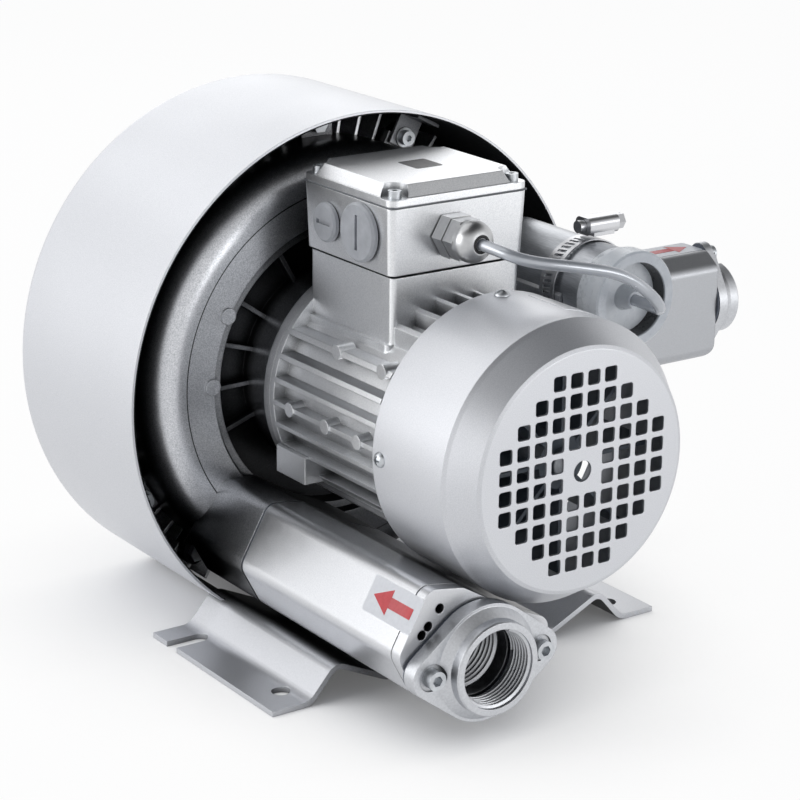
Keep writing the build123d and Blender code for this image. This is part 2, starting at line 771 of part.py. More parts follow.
def terminal_box_lid():
    """Lid with a raised field and a cut pocket at each screw."""
    z0 = box_z + box_height + 1.0 + 2 * seat
    half_x = box_width / 2 + 1.4
    half_y = box_depth / 2 + 1.4
    middle = box_front_y + box_depth / 2
    rim = bar_z(fillet(Rectangle(2 * half_x, 2 * half_y).vertices(), 5), z0, z0 + 4, 0, middle)
    low = Plane.XY.offset(z0 + 4) * fillet(
        Rectangle(2 * half_x - 2, 2 * half_y - 2).vertices(), 6)
    high = Plane.XY.offset(z0 + lid_height + 2) * fillet(
        Rectangle(2 * half_x - 10, 2 * half_y - 10).vertices(), 8)
    lid = rim + Pos(0, middle, 0) * loft([low, high])
    inside = bar_z(fillet(Rectangle(2 * half_x - 20, 2 * half_y - 20).vertices(), 6),
                   z0 - 1, z0 + lid_height - 1, 0, middle)
    lid -= inside
    for x, y in lid_corners():
        lid -= bar_z(Circle(7), z0 + 3.5, z0 + 30, x, y)
        lid -= bar_z(Circle(2.2), z0 - 1, z0 + 6, x, y)
    return lid


def lid_screws():
    """Four cap screws seated in the lid's pockets."""
    z0 = box_z + box_height + 1.0 + 2 * seat + 3.5
    screws = []
    for x, y in lid_corners():
        head = bar_z(Circle(3.5), z0 + seat, z0 + 4, x, y)
        head -= bar_z(RegularPolygon(1.7, 6), z0 + 2, z0 + 5, x, y)
        screws.append(head + bar_z(Circle(1.75), z0 - 11, z0 + 1, x, y))
    return group(screws)


def terminal_board():
    """Moulded board that carries the motor studs."""
    middle = box_front_y + box_depth / 2
    z0 = box_z + box_wall + seat
    board = bar_z(Rectangle(46, 50), z0 + 4, z0 + 9, 0, middle + 6)
    for sx in (-1, 1):
        board += bar_z(Rectangle(6, 60), z0, z0 + 6, sx * 26, middle + 3)
    return board


def terminal_studs():
    """Six studs with their nuts."""
    middle = box_front_y + box_depth / 2
    z0 = box_z + box_wall + seat + 9 + seat
    studs = []
    for x in (-14, 0, 14):
        for y in (-8, 18):
            stud = bar_z(Circle(2), z0, z0 + 12, x, middle + y)
            studs.append(stud + bar_z(RegularPolygon(4, 6), z0, z0 + 3.2, x, middle + y))
    return group(studs)


def blanking_plug(y, z, radius, slot_turn):
    """Screw plug with a domed head and a driver slot."""
    face = -box_width / 2 - 1.4
    head = bar_x(Circle(radius), face - 3.2, face, y, z)
    head = chamfer(head.faces().sort_by(Axis.X)[0].edges(), 1.2)
    stem = bar_x(Circle(radius * 0.79), face - 1, -box_width / 2 + box_wall + 2, y, z)
    slot = Pos(face - 3.2, y, z) * Rot(slot_turn, 0, 0) * Box(3, 2.2, radius * 1.2)
    return head + stem - slot


def gland_body():
    """Hexagon and thread of the cable gland, with its lock nut inside the box."""
    x, z = gland_place()
    y = box_front_y - 1.4
    body = bar_y(RegularPolygon(12.4, 6), y - 8, y, x, z)
    body += tube_y(8.0, 0, y - 1, box_front_y + box_wall + 5, x, z)
    body += bar_y(RegularPolygon(11.0, 6), box_front_y + box_wall + 0.6,
                  box_front_y + box_wall + 5, x, z)
    body += tube_y(9.0, 0, y - 14, y - 7, x, z)
    return body - tube_y(lead_radius + 0.9, 0, y - 15, box_front_y + 30, x, z)


def gland_dome():
    """Domed cap nut that grips the lead."""
    x, z = gland_place()
    y = box_front_y - 1.4 - 8 - 0.3
    front = y - 18
    hexagon = bar_y(RegularPolygon(11.8, 6), y - 8, y, x, z)
    dome = Pos(x, 0, z) * revolve(make_face(Wire([
        Line((0, y - 7), (11.0, y - 7)), Line((11.0, y - 7), (11.0, y - 9)),
        ThreePointArc((11.0, y - 9), (9.6, y - 15), (5.5, front)),
        Line((5.5, front), (0, front)), Line((0, front), (0, y - 7)),
    ])), Axis.Y, 360)
    return hexagon + dome - tube_y(9.3, 0, y - 6.4, y + 1, x, z) - tube_y(
        lead_radius + 0.02, 0, front - 1, y, x, z)


# ---- capacitor ------------------------------------------------------------------------
lead_radius = 3.1


def cap_depth():
    """From the cap's rim back to the end of the can inside it."""
    return cap_recess + cap_floor


def capacitor_can():
    """Plain can with a rounded rear edge."""
    y0 = can_face_y + cap_depth() + seat
    can = tube_y(can_radius, 0, y0, y0 + can_length - cap_depth(), can_x, can_z)
    return fillet(can.faces().sort_by(Axis.Y)[-1].edges(), 3)


def capacitor_cap():
    """Collar with a deep sunk disc and the cone that the lead goes through."""
    y0 = can_face_y
    rear = y0 + cap_depth()
    collar = Pos(can_x, 0, can_z) * revolve(make_face(Polyline(
        (0, y0 + cap_recess), (19.5, y0 + cap_recess), (20.5, y0), (cap_radius - 1, y0),
        (cap_radius, y0 + 1), (cap_radius, rear - 3), (can_radius + 0.6, rear + 4),
        (can_radius + 0.02, rear + 4), (can_radius + 0.02, rear), (0, rear),
        close=True)), Axis.Y, 360)
    cone = Pos(can_x, 0, can_z) * revolve(make_face(Polyline(
        (0, y0 + 1), (4.4, y0 + 1), (7.5, y0 + cap_recess + 0.5), (0, y0 + cap_recess + 0.5),
        close=True)), Axis.Y, 360)
    hole = tube_y(lead_radius + 0.02, 0, y0 - 2, rear - 2, can_x, can_z)
    return collar + cone - hole


def lead_route():
    """Points of the lead, from inside the gland to the capacitor's boot."""
    gx, gz = gland_place()
    return [
        (gx, box_front_y - 16, gz), (gx, box_front_y - 40, gz),
        (gx + 20, box_front_y - 56, gz - 7), (gx + 48, box_front_y - 62, gz - 17),
        (can_x - 18, can_face_y - 30, can_z + 15), (can_x - 3, can_face_y - 28, can_z + 5),
        (can_x, can_face_y - 14, can_z), (can_x, can_face_y + 4, can_z),
    ]


def capacitor_lead():
    """Round lead of straight runs joined by tangent arcs."""
    points = [Vector(*p) for p in lead_route()]
    radii = []
    for before, here, after in zip(points, points[1:], points[2:]):
        turn = math.radians((here - before).get_angle(after - here))
        run = min((here - before).length, (after - here).length)
        radii.append(0.45 * run / math.tan(turn / 2))
    print("lead bend radii", [round(r, 1) for r in radii])
    path = FilletPolyline(*points, radius=radii)
    start = Plane(origin=points[0], z_dir=points[1] - points[0])
    lead = sweep(start * Circle(lead_radius), path=path)
    print("lead volume ratio", round(lead.volume / (math.pi * lead_radius ** 2 * path.length), 4))
    return lead


def saddle_angle():
    """Direction from the motor axis to the capacitor."""
    return math.degrees(math.atan2(can_rise, can_x))


def capacitor_saddle():
    """Cradle under the can on a stem that stands on the motor frame's pad."""
    distance = math.hypot(can_x, can_rise)
    y = band_y + 18
    tongue = tube_y(can_radius + 2.2, can_radius + 0.2, band_y - 10, y + 12, distance, axis_height)
    keep = Pos(distance - can_radius, y, axis_height) * Box(can_radius, 80, 26)
    tongue = tongue & keep
    foot_r = fin_tip_radius + 1 + seat
    stem_end = distance - can_radius - 0.9
    stem = Pos((foot_r + stem_end) / 2, y + 3, axis_height) * Box(stem_end - foot_r, 14, 3)
    foot = Pos(foot_r + 1.5, y, axis_height) * Box(3, 18, 20)
    return around(tongue + stem + foot, saddle_angle())


def clamp_centre():
    """Centre of the band, shifted so that it also goes round the cradle."""
    shift = 1.2
    a = math.radians(saddle_angle())
    return can_x - shift * math.cos(a), can_z - shift * math.sin(a)


def clamp_band():
    """Steel band round the can and the cradle, with the overlap under the worm."""
    x, z = clamp_centre()
    inner = can_radius + 1.35
    y0 = band_y - band_width / 2
    band = tube_y(inner + 0.9, inner, y0, y0 + band_width, x, z)
    tail = tube_y(inner + 1.9, inner + 0.85, y0, y0 + band_width, x, z)
    keep = Pos(x, band_y, z + inner) * Box(30, 40, 24)
    return band + (tail & keep)


def clamp_housing():
    """Pressed housing of the worm, on top of the band."""
    x, z = clamp_centre()
    base = z + can_radius + 1.35 + 1.95
    hull = bar_x(fillet(Rectangle(band_width + 1, 9.5).vertices(), 3.5), x - 2, x + 18,
                 band_y, base + 5.2)
    saddle = Pos(x + 8, band_y, base + 1.4) * Box(14, band_width, 2.6)
    body = hull + saddle
    body -= bar_x(Circle(3.6), x - 3, x + 19, band_y, base + 5.2)
    return body - tube_y(can_radius + 1.35 + 1.95, 0, band_y - 20, band_y + 20, x, z)


def clamp_screw():
    """Worm with its hexagon head."""
    x, z = clamp_centre()
    level = z + can_radius + 1.35 + 1.95 + 5.2
    worm = bar_x(Circle(3.4), x - 6, x + 19, band_y, level)
    head = bar_x(RegularPolygon(4.6, 6), x + 19, x + 24, band_y, level)
    return worm + head - bar_x(Rectangle(1.2, 12), x + 22.5, x + 25, band_y, level)


# ---- silencers and ports ---------------------------------------------------------------
def silencer_outline(grow):
    """Section of the inlet silencer about the port axis, wider by grow."""
    points = [(-47, 9.5), (-29, 42), (-8, 38.5), (22, 20.5), (46, 10), (45, -8), (12, -31),
              (-8, -31), (-35, -13)]
    face = rounded(points, 8) - under_base()
    return offset(face, amount=grow) if grow else face


def under_base():
    """Space that the base takes up, seen from the port's axis."""
    gap = 1.5
    points = [(-2 * crest_x, -crest_x), (-crest_x - 16, sheet + gap), (-crest_x - 2, crest_height + gap),
              (-crest_x + 2, crest_height + gap), (32 - crest_x, trough_height + gap),
              (crest_x - 32, trough_height + gap), (2 * crest_x, -crest_x)]
    return Pos(-inlet_x, -inlet_z) * make_face(Polyline(*points, close=True))


def inlet_silencer_tube():
    """Extruded silencer body with a front end plate for the port flange."""
    y0 = silencer_front_y
    y1 = silencer_seam_y
    tube = bar_y(silencer_outline(0), y0, y1, inlet_x, inlet_z)
    tube -= bar_y(silencer_outline(-silencer_wall), y0 + 8, y1 + 1, inlet_x, inlet_z)
    tube -= tube_y(port_thread_radius - 1, 0, y0 - 1, y0 + 9, inlet_x, inlet_z)
    line = silencer_outline(1) - silencer_outline(-0.5)
    tube -= bar_y(line, y0 + 7, y0 + 7.7, inlet_x, inlet_z)
    for angle, radius in ((126, 38), (142, 37), (150, 38)):
        a = math.radians(angle)
        tube -= tube_y(2.6, 0, y0 - 1, y0 + 7, inlet_x + radius * math.cos(a),
                       inlet_z + radius * math.sin(a))
    for side in (-1, 1):
        tube -= tube_y(3.0, 0, y0 - 1, y0 + 9, inlet_x + side * port_bolt_offset, inlet_z)
    return tube


def inlet_silencer_foam():
    """Foam lining with a straight way through."""
    y0 = silencer_front_y + 8 + slack
    y1 = silencer_seam_y - slack
    foam = bar_y(silencer_outline(-silencer_wall - slack), y0, y1, inlet_x, inlet_z)
    return foam - tube_y(port_thread_radius - 1, 0, y0 - 1, y1 + 1, inlet_x, inlet_z)


def inlet_seam_gasket():
    """Gasket between the silencer and the stage casting."""
    ring = silencer_outline(-0.6) - silencer_outline(-silencer_wall - 1)
    return bar_y(ring, silencer_seam_y + seat, silencer_seam_y + gasket_thk - seat,
                 inlet_x, inlet_z)


def flange_outline(radius, offset_x, ear):
    """Two-bolt flange: a round with an ear at each side."""
    hull = make_hull((Sketch() + [Circle(radius), Pos(-offset_x, 0) * Circle(ear),
                                  Pos(offset_x, 0) * Circle(ear)]).edges())
    return hull


def inlet_flange_gasket():
    """Gasket under the port flange."""
    ring = flange_outline(30.5, port_bolt_offset, 10.5) - Circle(port_thread_radius + 1)
    gasket = bar_y(ring, port_plate_y + seat, silencer_front_y - seat, inlet_x, inlet_z)
    for side in (-1, 1):
        gasket -= tube_y(4.0, 0, port_plate_y - 1, silencer_front_y + 1,
                         inlet_x + side * port_bolt_offset, inlet_z)
    return gasket


def port_flange(thread_radius, length, plate, radius, bolt, ear):
    """Flange with a threaded neck, drawn with its plate at zero and its mouth at -length."""
    lip = thread_radius + 3.8
    neck = revolve(make_face(Polyline(
        (0, -length), (lip - 0.6, -length), (lip, -length + 0.8), (lip, -length + 6),
        (radius - 1, -plate + 0.5), (radius - 1, 0), (0, 0), close=True)), Axis.Y, 360)
    body = neck + extrude(Plane.XZ.offset(plate) * flange_outline(radius, bolt, ear),
                          amount=-plate)
    body -= extrude(Plane.XZ.offset(length + 1) * Circle(thread_radius), amount=-(length + 2))
    for side in (-1, 1):
        pocket = extrude(Plane.XZ.offset(length) * Circle(7.2), amount=-(length - plate + 1.0))
        hole = extrude(Plane.XZ.offset(length) * Circle(3.4), amount=-(length + 1))
        body -= Pos(side * bolt, 0, 0) * (pocket + hole)
    return body


def inlet_port_flange():
    """Port of the inlet, with its mouth toward -Y."""
    shape = port_flange(port_thread_radius, port_length, 8.0, 31.0, port_bolt_offset, 11.0)
    return Pos(inlet_x, port_plate_y, inlet_z) * shape


def cap_screw(head_radius, head_height, stem_radius, stem_length, socket):
    """Socket head screw along Y, with the underside of its head at zero."""
    head = extrude(Plane.XZ.offset(0) * Circle(head_radius), amount=head_height)
    head -= extrude(Plane.XZ.offset(head_height * 0.4) * RegularPolygon(socket, 6),
                    amount=head_height)
    return head + extrude(Plane.XZ.offset(0) * Circle(stem_radius), amount=-stem_length)


def inlet_flange_bolts():
    """Two socket head screws of the inlet port."""
    screw = cap_screw(5.0, 6.0, 2.95, 15.0, 2.9)
    y = port_plate_y - 8.0 + 1.0 - seat
    return group([Pos(inlet_x + side * port_bolt_offset, y, inlet_z) * screw
                  for side in (-1, 1)])


def outlet_section(grow):
    """Rounded section of the outlet silencer in Y and Z."""
    y0 = outlet_front_y
    y1 = outlet_front_y + outlet_depth
    z1 = outlet_top
    z0 = outlet_top - outlet_height
    corners = [(y0, z0), (y1, z0), (y1, z1 - 4), (y1 - 6, z1), (y0 + 10, z1), (y0, z1 - 7)]
    face = rounded(corners, 6)
    return offset(face, amount=grow) if grow else face


def outlet_front(grow):
    """Outline of the outlet silencer seen from the front, wider by grow."""
    x0, x1 = outlet_left_x - grow, outlet_right_x + grow
    z0, z1 = outlet_top - outlet_height - grow, outlet_top + grow
    face = make_face(Polyline((x0, z0), (x1, z0), (x1, z1), (x0, z1), close=True))
    corner = face.vertices().sort_by(Axis.X)[-2:].sort_by(Axis.Y)[0]
    return fillet(corner, outlet_corner + grow)


def outlet_silencer():
    """Silencer box across the machine, open to its duct and to the port."""
    y0 = outlet_front_y - 1
    y1 = outlet_front_y + outlet_depth + 1
    box = bar_x(outlet_section(0), outlet_left_x, outlet_right_x)
    box = box & bar_y(outlet_front(0), y0, y1)
    hollow = bar_x(outlet_section(-outlet_wall), outlet_left_x + outlet_wall,
                   outlet_right_x - outlet_wall)
    box -= hollow & bar_y(outlet_front(-outlet_wall), y0, y1)
    y, z = outlet_port_centre()
    box -= bar_x(Circle(outlet_thread_radius - 0.5), outlet_right_x - outlet_wall - 1,
                 outlet_right_x + 1, y, z)
    for side in (-1, 1):
        box -= bar_x(Circle(2.6), outlet_right_x - outlet_wall - 1, outlet_right_x + 1,
                     y, z + side * outlet_bolt_offset())
    x, z = duct_front()
    box -= tube_y(duct_radius() - 3, 0, outlet_front_y + outlet_depth - outlet_wall - 1,
                  outlet_front_y + outlet_depth + 1, x, z)
    return box


def outlet_bolt_offset():
    """From the outlet's axis to each flange screw."""
    return outlet_thread_radius + 9.0


def outlet_port_centre():
    """Y and Z of the outlet port."""
    return outlet_front_y + outlet_depth / 2, outlet_top - outlet_height / 2


def outlet_port_flange():
    """Port of the outlet, with its mouth toward +X."""
    y, z = outlet_port_centre()
    shape = port_flange(outlet_thread_radius, 14.0, 6.0, 20.0, outlet_bolt_offset(), 7.0)
    return Pos(outlet_right_x + 1.0 + 2 * seat, y, z) * Rot(0, 0, 90) * Rot(0, 90, 0) * shape


def outlet_flange_gasket():
    """Gasket under the outlet flange."""
    y, z = outlet_port_centre()
    ring = flange_outline(19.5, outlet_bolt_offset(), 6.5) - Circle(outlet_thread_radius + 1)
    x = outlet_right_x + seat
    gasket = Pos(0, y, z) * Rot(90, 0, 0) * extrude(Plane.YZ.offset(x) * ring, amount=1.0)
    for side in (-1, 1):
        gasket -= bar_x(Circle(3.0), x - 1, x + 2, y, z + side * outlet_bolt_offset())
    return gasket


def outlet_flange_bolts():
    """Two socket head screws of the outlet port."""
    y, z = outlet_port_centre()
    screw = cap_screw(4.3, 5.0, 2.5, 8.0, 2.3)
    x = outlet_right_x + 1.0 + 2 * seat + 6.0 - 1.0 + seat
    return group([Pos(x, y, z + side * outlet_bolt_offset()) * Rot(0, 0, 90) * screw
                  for side in (-1, 1)])


def duct_radius():
    """Outer radius of the outlet duct."""
    return 16.0


def duct_front():
    """X and Z where the duct meets the outlet silencer."""
    return outlet_left_x + outlet_length * 0.38, outlet_top - outlet_height * 0.55


def outlet_duct():
    """Cast duct from the stage casting forward to the outlet silencer."""
    x0, z0 = polar(channel_radius + 5, 7)
    x1, z1 = duct_front()
    y0 = stage_front_y - seat
    y1 = outlet_front_y + outlet_depth + seat
    outer = loft([
        Plane((x0, y0, z0), x_dir=(1, 0, 0), z_dir=(0, -1, 0)) * Circle(duct_radius() + 1),
        Plane((x0, y0 - 14, z0), x_dir=(1, 0, 0), z_dir=(0, -1, 0)) * Circle(duct_radius()),
        Plane((x1, y1 + 12, z1), x_dir=(1, 0, 0), z_dir=(0, -1, 0)) * Circle(duct_radius()),
        Plane((x1, y1, z1), x_dir=(1, 0, 0), z_dir=(0, -1, 0)) * Circle(duct_radius()),
    ])
    inner = loft([
        Plane((x0, y0 + 0.01, z0), x_dir=(1, 0, 0), z_dir=(0, -1, 0)) * Circle(12),
        Plane((x0, y0 - 14, z0), x_dir=(1, 0, 0), z_dir=(0, -1, 0)) * Circle(12),
        Plane((x1, y1 + 12, z1), x_dir=(1, 0, 0), z_dir=(0, -1, 0)) * Circle(12),
        Plane((x1, y1 - 0.01, z1), x_dir=(1, 0, 0), z_dir=(0, -1, 0)) * Circle(12),
    ])
    plate = tube_y(duct_radius() + 7, 0, y0 - 5, y0, x0, z0)
    return (outer + plate) - inner


# ---- hood and base ---------------------------------------------------------------------
def hood_shell():
    """Thin drum round the stages, open in front and notched over the base."""
    y0 = hood_front_y
    y1 = hood_rear_y
    outer = tube_y(hood_radius, 0, y0, y1)
    outer = fillet(outer.faces().sort_by(Axis.Y)[-1].edges(), hood_corner)
    inner = tube_y(hood_radius - hood_wall, 0, y0 - 1, y1 - hood_wall)
    inner = fillet(inner.faces().sort_by(Axis.Y)[-1].edges(), hood_corner - hood_wall)
    hood = outer - inner
    hood -= Pos(0, (y0 + y1) / 2, trough_height - slack - hood_radius / 2) * Box(
        3 * hood_radius, 3 * hood_length, hood_radius)
    notch = bracket_rear_y + slack
    hood -= Pos(0, (y0 - 10 + notch) / 2, 0) * Box(
        2 * crest_x + 90, notch - y0 + 10, 2 * (crest_height + slack))
    return hood


def hood_tabs():
    """Angle brackets between the front casting's ears and the hood."""
    front = skirt_y - lug_thk - seat
    edge = hood_radius - hood_wall - 0.1
    inner = lug_circle - 6
    tab = Pos((inner + edge) / 2, front - 1.0, axis_height) * Box(edge - inner, 2.0, 16)
    foot = Pos(edge - 1.0, front - 9, axis_height) * Box(2.0, 18, 16)
    one = (tab + foot) & tube_y(edge, body_radius + 0.4, front - 30, front)
    one -= tube_y(2.7, 0, front - 4, front + 1, lug_circle, axis_height)
    return group([around(one, angle) for angle in tab_angles()])


def hood_screws():
    """Cap screws that hold the tabs, with their washers."""
    front = skirt_y - lug_thk - seat - 2.0 - seat
    screw = Pos(lug_circle, front - 0.8, axis_height) * cap_screw(4.2, 4.0, 2.5, 2.0, 2.0)
    washer = tube_y(5.6, 2.5, front - 0.8, front, lug_circle, axis_height)
    return group([around(screw + washer, angle) for angle in tab_angles()])


def housing_bolts():
    """Long bolts through the ears of all three castings, with their nuts at the rear."""
    y0 = skirt_y - lug_thk - seat
    y1 = joint_2 + lug_thk + seat
    bolts = []
    for angle in bolt_angles():
        x, z = polar(lug_circle, angle)
        bolt = bar_y(RegularPolygon(5.0, 6), y0 - 4, y0, x, z)
        bolt += tube_y(3.0, 0, y0 - 1, y1 + 6, x, z)
        bolt += bar_y(RegularPolygon(5.0, 6), y1, y1 + 5, x, z)
        bolts.append(bolt)
    return group(bolts)


def bracket_profile():
    """Mid line of the base sheet in X and Z, from the left foot to the right."""
    half = [(foot_edge_x, sheet / 2), (crest_x + 16, sheet / 2), (crest_x, crest_height - sheet / 2),
            (crest_x - 24, trough_height), (0, trough_height - sheet / 2)]
    left = [(-x, z) for x, z in half[:3]]
    trough = trough_height - sheet / 2
    return left + [(-(crest_x - 32), trough), (crest_x - 32, trough)] + half[2::-1]


def base_bracket():
    """Bent sheet base: two feet, two crests and the trough that carries the stages."""
    path = FilletPolyline(*bracket_profile(), radius=[10, 7, 14, 14, 7, 10])
    base = bar_y(trace(path, sheet), bracket_front_y, bracket_rear_y)
    half = foot_hole_span / 2
    for side in (-1, 1):
        base -= bar_z(Circle(foot_hole_dia / 2), -1, sheet + 1, side * half, 0)
        slot = bar_z(Circle(foot_hole_dia / 2), -1, sheet + 1, side * half, foot_hole_pitch)
        slot += Pos(side * (half + 12), foot_hole_pitch, sheet / 2) * Box(
            24, foot_hole_dia, sheet + 2)
        base -= slot
        base -= Pos(side * base_screw_x(), base_screw_y(), trough_height - sheet) * cone_up(
            6.1, 3.1, sheet)
    return base


def cone_up(low, high, height):
    """Countersink: a cone with its wide end down."""
    return Pos(0, 0, -0.01) * extrude(Circle(low), amount=0.02) + loft(
        [Circle(low), Plane.XY.offset(height) * Circle(high)]) + extrude(
            Plane.XY.offset(height) * Circle(high), amount=0.01)


def base_screws():
    """Two countersunk screws from below into the casting's feet."""
    screws = []
    for side in (-1, 1):
        low = trough_height - sheet
        head = loft([Circle(5.9), Plane.XY.offset(sheet - 0.1) * Circle(2.9)])
        stem = extrude(Circle(2.55), amount=sheet + 7)
        screws.append(Pos(side * base_screw_x(), base_screw_y(), low + seat) * (head + stem))
    return group(screws)


def base_screw_x():
    """Sideways place of the screws under the stage casting."""
    return 24.0


def base_screw_y():
    """Place along Y of the screws under the stage casting."""
    return bracket_rear_y - 12.0


# ---- write every piece -----------------------------------------------------------------
def main():
    os.makedirs("parts", exist_ok=True)
    pieces = {
        "hood_shell": hood_shell, "hood_tabs": hood_tabs, "hood_screws": hood_screws,
        "motor_side_housing": motor_side_housing, "stage_divider": stage_divider,
        "housing_cover": housing_cover, "housing_bolts": housing_bolts,
        "impeller_spacer": impeller_spacer, "impeller_nut": impeller_nut,
        "shaft_keys": shaft_keys, "rotor_shaft": rotor_shaft, "rotor_core": rotor_core,
        "stator_core": stator_core, "stator_windings": stator_windings,
        "motor_frame": motor_frame, "drive_end_shield": drive_end_shield,
        "fan_end_shield": fan_end_shield, "cooling_fan": cooling_fan, "fan_cowl": fan_cowl,
        "cowl_screws": cowl_screws, "terminal_box_base": terminal_box_base,
        "terminal_box_lid": terminal_box_lid, "lid_gasket": lid_gasket,
        "lid_screws": lid_screws, "terminal_board": terminal_board,
        "terminal_studs": terminal_studs, "gland_body": gland_body, "gland_dome": gland_dome,
        "capacitor_can": capacitor_can, "capacitor_cap": capacitor_cap,
        "capacitor_lead": capacitor_lead, "capacitor_saddle": capacitor_saddle,
        "clamp_band": clamp_band, "clamp_housing": clamp_housing, "clamp_screw": clamp_screw,
        "inlet_silencer_tube": inlet_silencer_tube, "inlet_silencer_foam": inlet_silencer_foam,
        "inlet_seam_gasket": inlet_seam_gasket, "inlet_flange_gasket": inlet_flange_gasket,
        "inlet_port_flange": inlet_port_flange, "inlet_flange_bolts": inlet_flange_bolts,
        "outlet_duct": outlet_duct, "outlet_silencer": outlet_silencer,
        "outlet_flange_gasket": outlet_flange_gasket,
        "outlet_port_flange": outlet_port_flange, "outlet_flange_bolts": outlet_flange_bolts,
        "base_bracket": base_bracket, "base_screws": base_screws,
    }
    for name, make in pieces.items():
        save(name, make())
    save("impeller_stage_1", impeller(joint_1))
    save("impeller_stage_2", impeller(joint_2))
    for end, size in (("drive_end", drive_bearing), ("fan_end", fan_bearing)):
        outer, inner, balls = bearing_rings(size)
        save(f"{end}_bearing_outer", outer)
        save(f"{end}_bearing_inner", inner)
        save(f"{end}_ball_set", balls)
    names = ("large_blanking_plug", "small_blanking_plug")
    for name, (y, z, radius), turn in zip(names, plug_places(), (0, 90)):
        save(name, blanking_plug(y, z, radius, turn))


main()
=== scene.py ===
# %% [markdown]
# # Side channel blower
# The machine moves air with two vaned discs inside a cast housing. A motor with cooling fins turns them, a
# drum-shaped hood goes round the stages, and the air comes in and out through two threaded ports. The solid
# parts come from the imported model, so this file adds the camera, the light, the finishes and the fine detail.

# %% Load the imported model
import math

import bmesh
import bpy
from mathutils import Matrix, Vector


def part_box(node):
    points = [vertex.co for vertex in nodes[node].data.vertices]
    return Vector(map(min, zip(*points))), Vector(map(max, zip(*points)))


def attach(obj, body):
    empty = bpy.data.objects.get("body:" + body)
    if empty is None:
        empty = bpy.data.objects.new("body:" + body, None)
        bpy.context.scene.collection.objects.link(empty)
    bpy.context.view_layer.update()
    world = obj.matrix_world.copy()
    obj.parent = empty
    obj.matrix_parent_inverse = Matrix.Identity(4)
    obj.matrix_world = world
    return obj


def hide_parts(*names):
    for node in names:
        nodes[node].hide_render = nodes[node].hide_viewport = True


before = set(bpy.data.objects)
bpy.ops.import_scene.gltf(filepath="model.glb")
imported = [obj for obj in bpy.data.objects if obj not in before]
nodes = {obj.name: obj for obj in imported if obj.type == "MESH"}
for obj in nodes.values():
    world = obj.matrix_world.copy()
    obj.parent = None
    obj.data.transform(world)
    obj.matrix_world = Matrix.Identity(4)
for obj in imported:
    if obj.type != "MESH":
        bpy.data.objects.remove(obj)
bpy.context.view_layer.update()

print("CAD nodes:", len(nodes))

# %% [markdown]
# ## Camera
# A camera is an object with a place, a turn and a lens. The place and the turn are written as numbers here,
# because the view was worked out once from the circles of the motor and the hood, and then it never changes.

# %% Camera
AXIS_Z = 0.134
LENS_MM = 112.46
CAMERA_PLACE = (-0.7411, -1.0015, 0.5452)
CAMERA_RIGHT = (0.81956, -0.57288, 0.01100)
CAMERA_UP = (0.16801, 0.25862, 0.95125)
CAMERA_BACK = (-0.54780, -0.77777, 0.30820)

camera_data = bpy.data.cameras.new("camera")
camera_data.lens = LENS_MM
camera_data.sensor_width = 36
camera = bpy.data.objects.new("camera", camera_data)
bpy.context.scene.collection.objects.link(camera)
turn = Matrix((CAMERA_RIGHT, CAMERA_UP, CAMERA_BACK)).transposed().to_4x4()
camera.matrix_world = Matrix.Translation(CAMERA_PLACE) @ turn
bpy.context.scene.camera = camera
bpy.context.scene.view_settings.view_transform = "Standard"

# %% [markdown]
# ## Nodes
# Materials and the world are graphs of nodes. One small function adds a node, sets its values by name and makes
# its links, so that each graph below reads as a short list.

# %% Node helper
def node(tree, kind, links=None, **settings):
    """Adds one node to a material or world, sets its values and makes its links."""
    made = tree.nodes.new(kind)
    for key, value in settings.items():
        if key in made.inputs:
            made.inputs[key].default_value = value
        else:
            setattr(made, key, value)
    for key, source in (links or {}).items():
        tree.links.new(source, made.inputs[key])
    return made


# %% [markdown]
# ## Lamps
# Silver paint shows what stands around it, so a studio for metal uses a few large soft lamps. The strong one on
# the left lights the long side of the drum, the one above its top edges, and two weak ones fill the front and
# the rear.

# %% Lamps
MIDDLE = (0.0, 0.05, 0.13)


def area_lamp(name, place, size, power):
    """A soft box that shines from its place to the middle of the machine."""
    data = bpy.data.lights.new(name, "AREA")
    data.shape = "RECTANGLE"
    data.size, data.size_y = size
    data.energy = power
    lamp = bpy.data.objects.new(name, data)
    bpy.context.scene.collection.objects.link(lamp)
    lamp.location = place
    way = Vector(MIDDLE) - Vector(place)
    lamp.rotation_mode = "QUATERNION"
    lamp.rotation_quaternion = way.to_track_quat("-Z", "Y")
    print("lamp", name, power, "W")


area_lamp("top_box", (-0.55, 0.95, 1.7), (2.0, 2.0), 14)
area_lamp("left_box", (-2.15, 0.75, 0.7), (1.8, 1.5), 24)
area_lamp("front_box", (0.75, -1.7, 0.35), (1.2, 0.6), 8)
area_lamp("rear_box", (0.7, 1.5, 0.9), (1.2, 0.8), 3.5)

# %% [markdown]
# ## World
# The world gives a dim bluish light of its own. The camera, mirrors and glass see something else in its place:
# a white room that turns dark toward the ceiling. The dark ceiling is what draws the dark band on the cowl's
# slope and the dark upper sides of the fins.

# %% World
FILL_COLOUR = (0.46, 0.51, 0.60, 1)
FILL_STRENGTH = 0.36
WALL_TOP, CEILING = 0.42, 0.78
CEILING_LIGHT = 0.04


def background_rays(tree):
    """One for the rays that should see the white background: camera, mirror and glass rays."""
    rays = node(tree, "ShaderNodeLightPath")
    either = node(tree, "ShaderNodeMath", {0: rays.outputs["Is Camera Ray"], 1: rays.outputs["Is Glossy Ray"]},
                  operation="MAXIMUM")
    return node(tree, "ShaderNodeMath", {0: either.outputs[0], 1: rays.outputs["Is Transmission Ray"]},
                operation="MAXIMUM").outputs[0]


